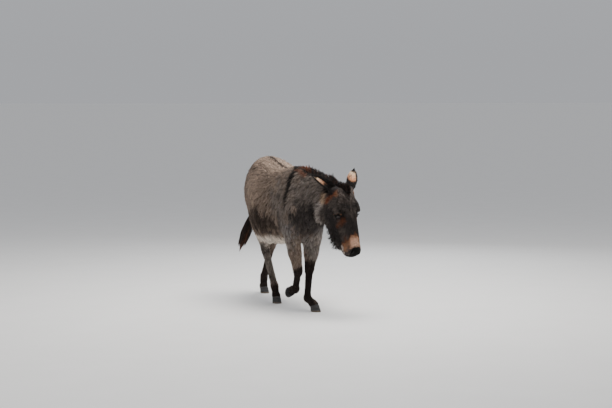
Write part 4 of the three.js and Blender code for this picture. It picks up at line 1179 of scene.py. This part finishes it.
# %% Rows along the crest, from the withers to the brow
MANE_ROWS = [  # root, tip, half the mane's thickness
    (on_neck(-44, 0, 176), on_neck(-64, 0, 212), 9),
    (on_neck(60, 0, 168), on_neck(48, 0, 228), 14),
    (on_neck(150, 0, 158), on_neck(136, 0, 222), 17),
    (on_neck(240, 0, 138), on_neck(226, 0, 204), 19),
    (on_neck(330, 0, 112), on_neck(318, 0, 184), 22),
    (on_neck(400, 0, 88), on_neck(396, 0, 164), 24),
    (on_head(-12, 0, -4), on_head(-34, 0, 52), 24),
    (on_head(8, 0, 4), on_head(16, 0, 50), 22),
    (on_head(22, 0, 8), on_head(62, 0, 32), 15),
]
crest = sum((b[0] - a[0]).length for a, b in zip(MANE_ROWS[:-1], MANE_ROWS[1:]))
say(f"the mane runs {crest / MM:.0f} mm along the crest")

# %% The mane and the forelock
MANE_LOCKS = 2900
luck = np.random.RandomState(21)
along = np.sort(luck.uniform(0, len(MANE_ROWS) - 1, MANE_LOCKS))
row, share = along.astype(int), (along % 1)[:, None]
roots, tips = (np.array([r[i] for r in MANE_ROWS]) for i in (0, 1))
roots, tips = (a[row] * (1 - share) + a[row + 1] * share for a in (roots, tips))
thick = np.interp(along, range(len(MANE_ROWS)), [r[2] for r in MANE_ROWS]) * MM
side = np.array(NECK_AXES)[:, 1] * 0.6 + np.array(HEAD_AXES)[:, 1] * 0.4  # across the crest
across = luck.uniform(-1, 1, MANE_LOCKS)
reach = luck.uniform(0.72, 1.06, MANE_LOCKS) * (1 - 0.22 * across**2) * (1 + 0.1 * np.sin(along * 23))
reach *= np.interp(along, (0, 3.8, 4.4, 5, 6, 8), (1, 1, 1.25, 0.9, 0.8, 0.9))
tips = roots + (tips - roots) * reach[:, None] + luck.normal(0, 6 * MM, roots.shape)
tips += np.outer(across * thick * 0.75, side)
roots += np.outer(across * thick, side)
warm = ease((2.0 - along) / 0.8) * ease((along - 0.2) / 0.5)
dark = blend(np.tile(BLACK * 0.7, (MANE_LOCKS, 1)), SLATE, np.abs(across) ** 3 * 0.5)
dark = blend(dark, CHESTNUT * 0.5, warm * 0.7)
light = blend(np.tile(RUST * 0.5, (MANE_LOCKS, 1)), CHESTNUT * 1.5, warm)
mane = hair_mesh("mane", long_locks(roots, tips, 0 * tips, 4 * MM, dark, light, 22))

# %% The switch of the tail
SWITCH_LOCKS = 620
a, b = (np.array(here(*TAIL[i])) for i in (3, 4))
turn = luck.uniform(0, 2 * math.pi, SWITCH_LOCKS)
rim = np.stack([np.cos(turn), np.sin(turn), 0 * turn], 1)
rise = luck.uniform(-10, 110, SWITCH_LOCKS)[:, None] * MM
up_tail = unit(np.array(here(*TAIL[2])) - a)
roots = a + up_tail * rise + rim * 18 * MM
wisp = luck.uniform(size=SWITCH_LOCKS) < 0.05
reach = np.where(wisp, luck.uniform(0.9, 1.08, SWITCH_LOCKS), luck.uniform(0.45, 0.84, SWITCH_LOCKS))
spread = np.where(wisp, 4, luck.uniform(6, 36, SWITCH_LOCKS))[:, None] * MM
tips = a + (b - a) * reach[:, None] + rim * spread
bulge = rim * luck.uniform(8, 24, SWITCH_LOCKS)[:, None] * MM
tail_hair = long_locks(roots, tips, bulge, 4.6 * MM, BROWN_BLACK, CHESTNUT * 0.9, 23, rings=6, pull=0.3)
switch = hair_mesh("switch", tail_hair)

# %% The beard under the jaw
BEARD_LOCKS = 1500
s = luck.uniform(190, 405, BEARD_LOCKS)
w = luck.normal(0, 30, BEARD_LOCKS)
under = np.interp(s, (190, 270, 350, 405), (-262, -256, -222, -186))
roots = np.array([on_head(*p) for p in zip(s, w, under + np.abs(w) * 0.4)])
hang = luck.uniform(0.6, 1.1, BEARD_LOCKS) * np.interp(s, (190, 260, 340, 390, 405), (10, 16, 29, 33, 18))
sway = np.stack([0.85 + luck.normal(0, 0.15, BEARD_LOCKS), w / 90, luck.uniform(-0.8, -0.4, BEARD_LOCKS)], 1)
tips = roots + (sway * hang[:, None] * MM) @ np.array(HEAD_AXES).T
dark = blend(np.tile(CHARCOAL, (BEARD_LOCKS, 1)), SLATE, luck.uniform(0, 1, BEARD_LOCKS))
beard = hair_mesh("beard", long_locks(roots, tips, 0 * tips, 3 * MM, dark, SILVER * 0.7, 27, rings=3))

# %% Black points on the ears
POINT_LOCKS = 260
POINT_LENGTHS = {"ear_left": 20, "ear_right": 36}
point_bunches = []
for name, (start, axis, out, wide) in ear_rulers.items():
    share = luck.uniform(0.8, 0.99, POINT_LOCKS)
    turn = luck.uniform(-1, 1, POINT_LOCKS) * np.interp(share, *zip(*EAR_EDGE))
    radius = np.interp(share, *zip(*EAR_ROLL)) * MM
    middle = start + np.outer(share * EAR_LENGTH, axis) + np.outer(radius + EAR_BOW * share**2, out)
    roots = middle + (np.outer(np.sin(turn), wide) - np.outer(np.cos(turn), out)) * radius[:, None]
    reach = luck.uniform(0.4, 1, POINT_LOCKS) * (0.35 + share) * POINT_LENGTHS[name]
    tips = roots + (axis + np.outer(-np.sin(turn) * 0.35, wide)) * reach[:, None] * MM
    point_bunches.append(long_locks(roots, tips, 0 * tips, 2.2 * MM, BLACK, BLACK, 26, rings=2, per_clump=12))
ear_points = hair_mesh("ear_points", *point_bunches)

# %% Lashes
LASHES = 46
lash_bunches = []
for side, centre in EYES.items():
    slit, up, out = eye_ruler(side)
    step = np.linspace(-0.92, 0.92, LASHES)
    height = LID_HALF_HEIGHT * (1 - step**2) ** 0.75 + 2.5 * MM
    roots = np.array(centre) + np.outer(step * LID_HALF_LENGTH, slit) + np.outer(height, up)
    roots += np.outer(np.sqrt(EYE_RADIUS**2 - (step * LID_HALF_LENGTH) ** 2 * 0.9), out)
    sweep = np.outer(step * 5, slit) - up * 3 + out * 11
    tips = roots + sweep * MM * luck.uniform(0.8, 1.2, (LASHES, 1))
    lift = np.tile(up * 1.5 * MM, (LASHES, 1))
    lash_bunches.append(long_locks(roots, tips, lift, 0.9 * MM, BLACK, BLACK, 24, per_clump=3, pull=0.3))

# %% A few feelers on the lips and the chin
FEELERS = 90
s, w = luck.uniform(425, 490, FEELERS), luck.uniform(-44, 44, FEELERS)
roots = np.array([on_head(a, b, -118 + abs(b) * 0.4) for a, b in zip(s, w)])
away = np.array([HEAD_AXES @ Vector((0.5, b / 40, -1)) for b in w])
tips = roots + away * luck.uniform(10, 26, FEELERS)[:, None] * MM
lash_bunches.append(long_locks(roots, tips, 0 * tips, 0.8 * MM, BLACK, CREAM, 25, per_clump=1, pull=0))
lashes = hair_mesh("lashes", *lash_bunches)

# %% [markdown]
# ## Eyes
#
# A donkey's eye is a large, dark, nearly round ball. Its pupil is an oblong that lies level with the
# slit, its iris is deep brown with fine spokes, and the clear front stands out a little further than the
# ball. All of it is one smooth solid here, painted in front and very glossy.

# %% Paint for the eyes
IRIS_BROWN, IRIS_DEEP, IRIS_RIM = paint(44, 26, 16), paint(22, 13, 9), paint(14, 9, 8)
PUPIL, EYE_CORNER, EYE_BACK = paint(5, 6, 9), paint(40, 30, 26), paint(60, 50, 46)
IRIS_RADIUS, PUPIL_HALF_LENGTH, PUPIL_HALF_HEIGHT = 12.5 * MM, 7 * MM, 3.8 * MM


def iris_colour(a, b, front):
    """a runs along the slit and b across it, from the middle of the eye."""
    r = np.hypot(a, b)
    spokes = waves(np.stack([np.arctan2(b, a) * 30 * MM, r * 0.1, 0 * r], 1), 4 * MM, 31)
    iris = blend(np.tile(IRIS_BROWN, (len(r), 1)), IRIS_DEEP, 0.5 + 0.5 * spokes)
    iris = blend(iris, IRIS_RIM, ease((r - 9.5 * MM) / (3 * MM)))
    pupil = np.hypot(a / PUPIL_HALF_LENGTH, b / PUPIL_HALF_HEIGHT)
    iris = blend(iris, PUPIL, ease((1.12 - pupil) / 0.2))
    iris = blend(iris, EYE_CORNER, ease((r - 14.5 * MM) / (2 * MM)))
    return np.where(front[:, None], iris, EYE_BACK)


# %% Two eyeballs, whose clear front stands out by a cornea's height
CORNEA = 1.3 * MM
eyeballs = []
for side, centre in EYES.items():
    deselect_all()
    bpy.ops.mesh.primitive_uv_sphere_add(segments=96, ring_count=64, radius=EYE_RADIUS)
    eyeball = bpy.context.object
    eyeball.name = f"eyeball_{side}"
    bpy.ops.object.shade_smooth()
    a, b, c = points_of(eyeball).T
    front = c > 0
    colour_attribute(eyeball, "iris", iris_colour(a, b, front))
    c = c + front * CORNEA * ease((IRIS_RADIUS - np.hypot(a, b)) / (8 * MM))
    move_points(eyeball, np.array(centre) + np.stack([a, b, c], 1) @ eye_ruler(side))
    edit_whole(eyeball)
    bpy.ops.mesh.normals_make_consistent(inside=False)
    bpy.ops.object.mode_set(mode="OBJECT")
    eyeballs.append(eyeball)
    say(f"{eyeball.name}: {len(eyeball.data.polygons)} faces")

# %% [markdown]
# ## Hooves
#
# Horn grows down from the hairline a few millimetres a month, and each season leaves a ring, so a hoof
# is ribbed across and finely streaked downwards. The wall is refined from the plain solid with creases
# that keep its ground edge sharp, and the rings are shallow waves that follow the hairline.

# %% A hoof rounded from its solid
GROUND_CREASE = 0.85


def rounded_hoof(leg):
    """A smooth copy of the solid, in the same place, with its sharp edges hardly rounded."""
    hoof = bpy.data.objects.new(f"horn_{leg}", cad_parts[f"{leg}_hoof"].data.copy())
    bpy.context.scene.collection.objects.link(hoof)
    hoof.data.materials.clear()
    edit_whole(hoof)
    bpy.ops.mesh.select_mode(type="EDGE")
    bpy.ops.mesh.remove_doubles(threshold=MERGE)
    bpy.ops.mesh.select_all(action="DESELECT")
    bpy.ops.mesh.edges_select_sharp(sharpness=math.radians(40))
    bpy.ops.transform.edge_crease(value=GROUND_CREASE)
    bpy.ops.object.mode_set(mode="OBJECT")
    apply_modifier(hoof, "SUBSURF", levels=3, render_levels=3)
    return hoof


# %% Rings of growth on four hooves
RING_GAP = 7 * MM
RING_HEIGHT = 0.4  # mm
HORN_SHADE = {"fore_left": 1.0, "fore_right": 0.16, "hind_left": 1.1, "hind_right": 1.2}
hooves = []
for leg in LEGS:
    hoof = rounded_hoof(leg)
    points, normals = points_of(hoof), normals_of(hoof)
    low, high = points.min(0), points.max(0)
    level = points[:, 2] - low[2]
    slope = (points[:, 0] - (low[0] + high[0]) / 2) * 0.3
    rings = np.sin((level + slope) * 2 * math.pi / RING_GAP + 2 * waves(points, 60 * MM, 41))
    rings += 0.6 * waves(points * np.array((1, 1, 3)), 20 * MM, 42)
    wall = ease((level - 2 * MM) / (5 * MM)) * (np.abs(normals[:, 2]) < 0.75)
    level_ways = normals * np.array((1, 1, 0))
    move_points(hoof, points + level_ways * (rings * RING_HEIGHT * MM * wall)[:, None])
    colour_attribute(hoof, "horn", np.full((len(points), 3), HORN_SHADE[leg]))
    pick(hoof)
    bpy.ops.object.shade_smooth()
    bpy.ops.object.shade_smooth_by_angle(angle=math.radians(45))
    hooves.append(hoof)
    say(f"{hoof.name}: {len(hoof.data.polygons)} faces, lowest {low[2] / MM:.2f} mm")

# %% [markdown]
# ## Finishes
#
# A finish is a small network of nodes. To write one like a formula, a socket is wrapped in a class whose
# + - * add Math nodes; colours pass through Mix. The paint itself is in the meshes, so these networks
# add what paint can't: strands too fine to model, dust in the coat, wet and dry, gloss.

# %% Formulas for shaders
class Value:
    """A socket of one finish that can stand in a formula."""

    def __init__(self, finish, socket):
        self.finish, self.socket = finish, socket

    def math(self, operation, other, swap=False):
        pair = (other, self) if swap else (self, other)
        return self.finish.node("ShaderNodeMath", {"operation": operation}, {0: pair[0], 1: pair[1]})

    def __add__(self, other):
        return self.math("ADD", other)

    def __sub__(self, other):
        return self.math("SUBTRACT", other)

    def __rsub__(self, other):
        return self.math("SUBTRACT", other, swap=True)

    def __mul__(self, other):
        return self.math("MULTIPLY", other)

    __radd__, __rmul__ = __add__, __mul__


# %% A finish and the nodes it is made of
class Finish:
    """One material: node() adds any node and returns one of its outputs as a Value."""

    def __init__(self, name, **shader):
        self.material = bpy.data.materials.new(name)
        self.material.use_nodes = True
        self.nodes, self.links = self.material.node_tree.nodes, self.material.node_tree.links
        self.shader = self.nodes["Principled BSDF"]
        self.set(**shader)

    def fill(self, node, sockets):
        for key, value in sockets.items():
            socket = node.inputs[key]
            if isinstance(value, Value):
                self.links.new(value.socket, socket)
            else:
                socket.default_value = value

    def node(self, kind, settings, sockets, output=0):
        node = self.nodes.new(kind)
        for key, value in settings.items():
            if key == "stops":
                for stop, (place, grey) in zip(node.color_ramp.elements, value):
                    stop.position, stop.color = place, (grey, grey, grey, 1)
            else:
                setattr(node, key, value)
        self.fill(node, sockets)
        return Value(self, node.outputs[output])

    def set(self, **shader):
        self.fill(self.shader, {key.replace("_", " "): value for key, value in shader.items()})

    def paint(self, name):
        return self.node("ShaderNodeAttribute", {"attribute_name": name}, {}, "Color")

    def place(self, *scale):
        spot = self.node("ShaderNodeTexCoord", {}, {}, "Object")
        return self.node("ShaderNodeMapping", {}, {"Vector": spot, "Scale": scale}) if scale else spot

    def noise(self, vector, scale, detail=2.0):
        sockets = {"Vector": vector, "Scale": scale, "Detail": detail}
        return self.node("ShaderNodeTexNoise", {}, sockets, "Fac")

    def ramp(self, value, low, high):
        """0 below low, 1 above high."""
        stops = {"stops": [(low, 0), (high, 1)]}
        return self.node("ShaderNodeValToRGB", stops, {"Fac": value}, "Color")

    def mix(self, share, a, b, how="MIX"):
        settings = {"data_type": "RGBA", "blend_type": how}
        return self.node("ShaderNodeMix", settings, {0: share, 6: a, 7: b}, 2)

    def bump(self, height, strength, depth):
        return self.node("ShaderNodeBump", {}, {"Height": height, "Strength": strength, "Distance": depth})

    def level(self, spot, low, high, at_low=0.0, at_high=1.0):
        """A value that follows the height of a spot: at_low up to low, and at_high from high on."""
        height = self.node("ShaderNodeSeparateXYZ", {}, {"Vector": spot}, "Z")
        return self.node("ShaderNodeMapRange", {}, {"Value": height, 1: low, 2: high, 3: at_low, 4: at_high})

    def done(self):
        say(f"{self.material.name}: {len(self.nodes)} nodes")
        return self.material


# %% Hair
DUST = (*paint(168, 152, 136), 1)


def hair_finish(name, rough, dusty):
    """Paint from the mesh, mottled by dust; the gloss is low, because a winter coat scatters light."""
    f = Finish(name, IOR=1.45, Specular_IOR_Level=0.2)
    spot = f.place()
    mottle = f.noise(spot, 60.0, 3.0)
    dust = f.ramp(f.noise(spot, 9.0, 4.0), 0.45, 0.75) * dusty
    mottled = f.mix(mottle, (0.82, 0.8, 0.79, 1), (1.16, 1.15, 1.12, 1))
    colour = f.mix(1.0, f.paint("coat"), mottled, "MULTIPLY")
    colour = f.mix(dust, colour, DUST)
    strand = f.noise(f.place(900, 900, 120), 1.0, 2.0)
    f.set(Base_Color=colour, Roughness=mottle * 0.2 + rough, Normal=f.bump(strand, 0.35, 0.8 * MM))
    return f.done()


coat_finish = hair_finish("winter_coat", 0.62, 0.04)
mane_finish = hair_finish("stiff_hair", 0.46, 0.02)
lash_finish = hair_finish("lash", 0.4, 0.0)

# %% Skin, with hair too short for locks
f = Finish("hide", IOR=1.4, Specular_IOR_Level=0.3)
spot = f.place()
short_hair = f.noise(f.place(1100, 1100, 260), 1.0, 3.0)
pores = f.noise(spot, 900.0, 2.0)
mottle = f.noise(spot, 45.0, 4.0)
bare = f.mix(mottle, (0.78, 0.76, 0.76, 1), (1.2, 1.18, 1.15, 1))
streaks = f.mix(short_hair, (0.7, 0.7, 0.7, 1), (1.3, 1.3, 1.3, 1))
colour = f.mix(1.0, f.mix(1.0, f.paint("coat"), bare, "MULTIPLY"), streaks, "MULTIPLY")
f.set(Base_Color=colour, Roughness=mottle * 0.2 + 0.52)
f.set(Normal=f.bump(short_hair + pores * 0.4, 0.5, 0.7 * MM))
hide_finish = f.done()

# %% Eye
f = Finish("wet_eye", Roughness=0.08, IOR=1.34, Coat_Weight=0.35, Coat_Roughness=0.02)
veins = f.noise(f.place(), 700.0, 3.0)
veined = f.mix(veins, (0.8, 0.8, 0.8, 1), (1.2, 1.2, 1.2, 1))
f.set(Base_Color=f.mix(1.0, f.paint("iris"), veined, "MULTIPLY"))
eye_finish = f.done()

# %% Horn, streaked downwards and banded across, with dry mud at the ground
HORN_DARK, HORN_PALE = (*paint(42, 42, 43), 1), (*paint(76, 75, 75), 1)
FIBRE, MUD = (*paint(104, 98, 90), 1), (*paint(134, 118, 98), 1)
f = Finish("hoof_horn", IOR=1.5, Specular_IOR_Level=0.15)
spot = f.place()
fibres = f.noise(f.place(900, 900, 40), 1.0, 3.0)
bands = f.noise(f.place(18, 18, 260), 1.0, 2.0)
chips = f.noise(spot, 140.0, 4.0)
colour = f.mix(f.ramp(bands, 0.35, 0.7), HORN_DARK, HORN_PALE)
colour = f.mix(f.ramp(fibres, 0.5, 0.75) * 0.4, colour, FIBRE)
colour = f.mix(1.0, f.paint("horn"), colour, "MULTIPLY")
mud = (1 - f.level(spot, 1 * MM, 16 * MM)) * f.ramp(chips, 0.35, 0.6)
colour = f.mix(mud * 0.8, colour, MUD)
f.set(Base_Color=colour, Roughness=mud * 0.3 + chips * 0.25 + 0.4)
f.set(Normal=f.bump(fibres * 0.6 + bands + chips * 0.5, 0.6, 1.2 * MM))
horn_finish = f.done()

# %% Dress every piece
for piece in coat:
    piece.data.materials.append(coat_finish)
for piece in (mane, switch, beard, ear_points):
    piece.data.materials.append(mane_finish)
lashes.data.materials.append(lash_finish)
skin.data.materials.append(hide_finish)
for piece in eyeballs:
    piece.data.materials.append(eye_finish)
for piece in hooves:
    piece.data.materials.append(horn_finish)
say(f"{len(bpy.data.materials)} materials")

# %% [markdown]
# ## The studio
#
# A pale floor and broad soft lights: one large panel above and a little to the animal's left for the
# shine along the back, a second in front for the face, and a weak one behind for the outline. A little
# light comes from all round as well, so that no shadow is black.

# %% The floor
FLOOR_SIZE = 900  # metres, so that its edge lies at the horizon
deselect_all()
bpy.ops.mesh.primitive_plane_add(size=FLOOR_SIZE, location=(0, 0, 0))
floor = bpy.context.object
floor.name = "floor"
f = Finish("studio_floor", Roughness=0.8)
grain = f.noise(f.place(), 3.0, 4.0)
f.set(Base_Color=f.mix(grain, (0.76, 0.755, 0.74, 1), (0.81, 0.805, 0.79, 1)))
floor.data.materials.append(f.done())
floor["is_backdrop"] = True

# %% Light from all round
world = bpy.data.worlds.new("studio_air")
bpy.context.scene.world = world
world.use_nodes = True


class Air(Finish):
    """The finish of the air; its shader is a background, and it has no material."""

    def __init__(self):
        self.nodes, self.links = world.node_tree.nodes, world.node_tree.links
        self.shader = self.nodes["Background"]


LOW_GLOW, HIGH_GLOW = 0.475, 0.62  # weaker low down, so that the air meets the floor without a line
air = Air()
way = air.node("ShaderNodeTexCoord", {}, {}, "Generated")
glow = air.level(way, 0.03, 0.35, LOW_GLOW, HIGH_GLOW)
air.set(Color=(0.93, 0.95, 1.0, 1), Strength=glow)
say(f"the air glows from {LOW_GLOW} to {HIGH_GLOW}")


# %% Soft lights
def softbox(name, place, aim, size, power, colour):
    """A square panel of so many metres and watts that faces a place."""
    bpy.ops.object.light_add(type="AREA", location=place)
    light = bpy.context.object
    light.name = name
    light.rotation_euler = (Vector(aim) - Vector(place)).to_track_quat("-Z", "Y").to_euler()
    light.data.shape = "RECTANGLE"
    light.data.size = light.data.size_y = size
    light.data.energy = power
    light.data.color = colour
    say(f"{name}: {size} m, {power} W")


softbox("top_panel", (0.2, 0.4, 4.4), (0, 0, 0.7), 2.8, 300, (1.0, 0.97, 0.93))
softbox("front_panel", (5.0, -3.4, 3.2), (0.3, 0, 0.8), 2.4, 60, (1.0, 0.98, 0.95))
softbox("rim_panel", (-3.5, 2.5, 2.6), (0, 0, 0.8), 1.6, 50, (0.92, 0.96, 1.0))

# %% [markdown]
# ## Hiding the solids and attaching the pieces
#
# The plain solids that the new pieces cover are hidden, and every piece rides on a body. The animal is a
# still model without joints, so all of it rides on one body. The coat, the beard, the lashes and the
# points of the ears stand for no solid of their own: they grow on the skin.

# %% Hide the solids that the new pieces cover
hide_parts(*FLESH)
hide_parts("mane")
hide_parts("tail_switch")
for piece, node in zip(eyeballs, ("eye_left", "eye_right")):
    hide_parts(node)
for piece, leg in zip(hooves, LEGS):
    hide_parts(f"{leg}_hoof")
for piece in [skin, *coat]:
    "ear_coat" if "ears" in piece.name else "leg_coat" if "legs" in piece.name else "coat"
say(f"{len(FLESH)} solids are covered by one skin")


# %% What they ride on, and how many triangles they have
def triangles(pieces):
    return sum(len(p.data.loops) - 2 * len(p.data.polygons) for p in pieces)


hair = [mane, switch, beard, ear_points, lashes, *coat]
pieces = [skin, *hair, *eyeballs, *hooves]
for piece in pieces:
    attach(piece, "root")
say(f"{triangles(hair)} triangles of hair, {triangles(pieces)} in all")

# %% Measure, and finish
deselect_all()
say(f"the finished animal fills {[[round(c, 3) for c in corner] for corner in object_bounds()]}")
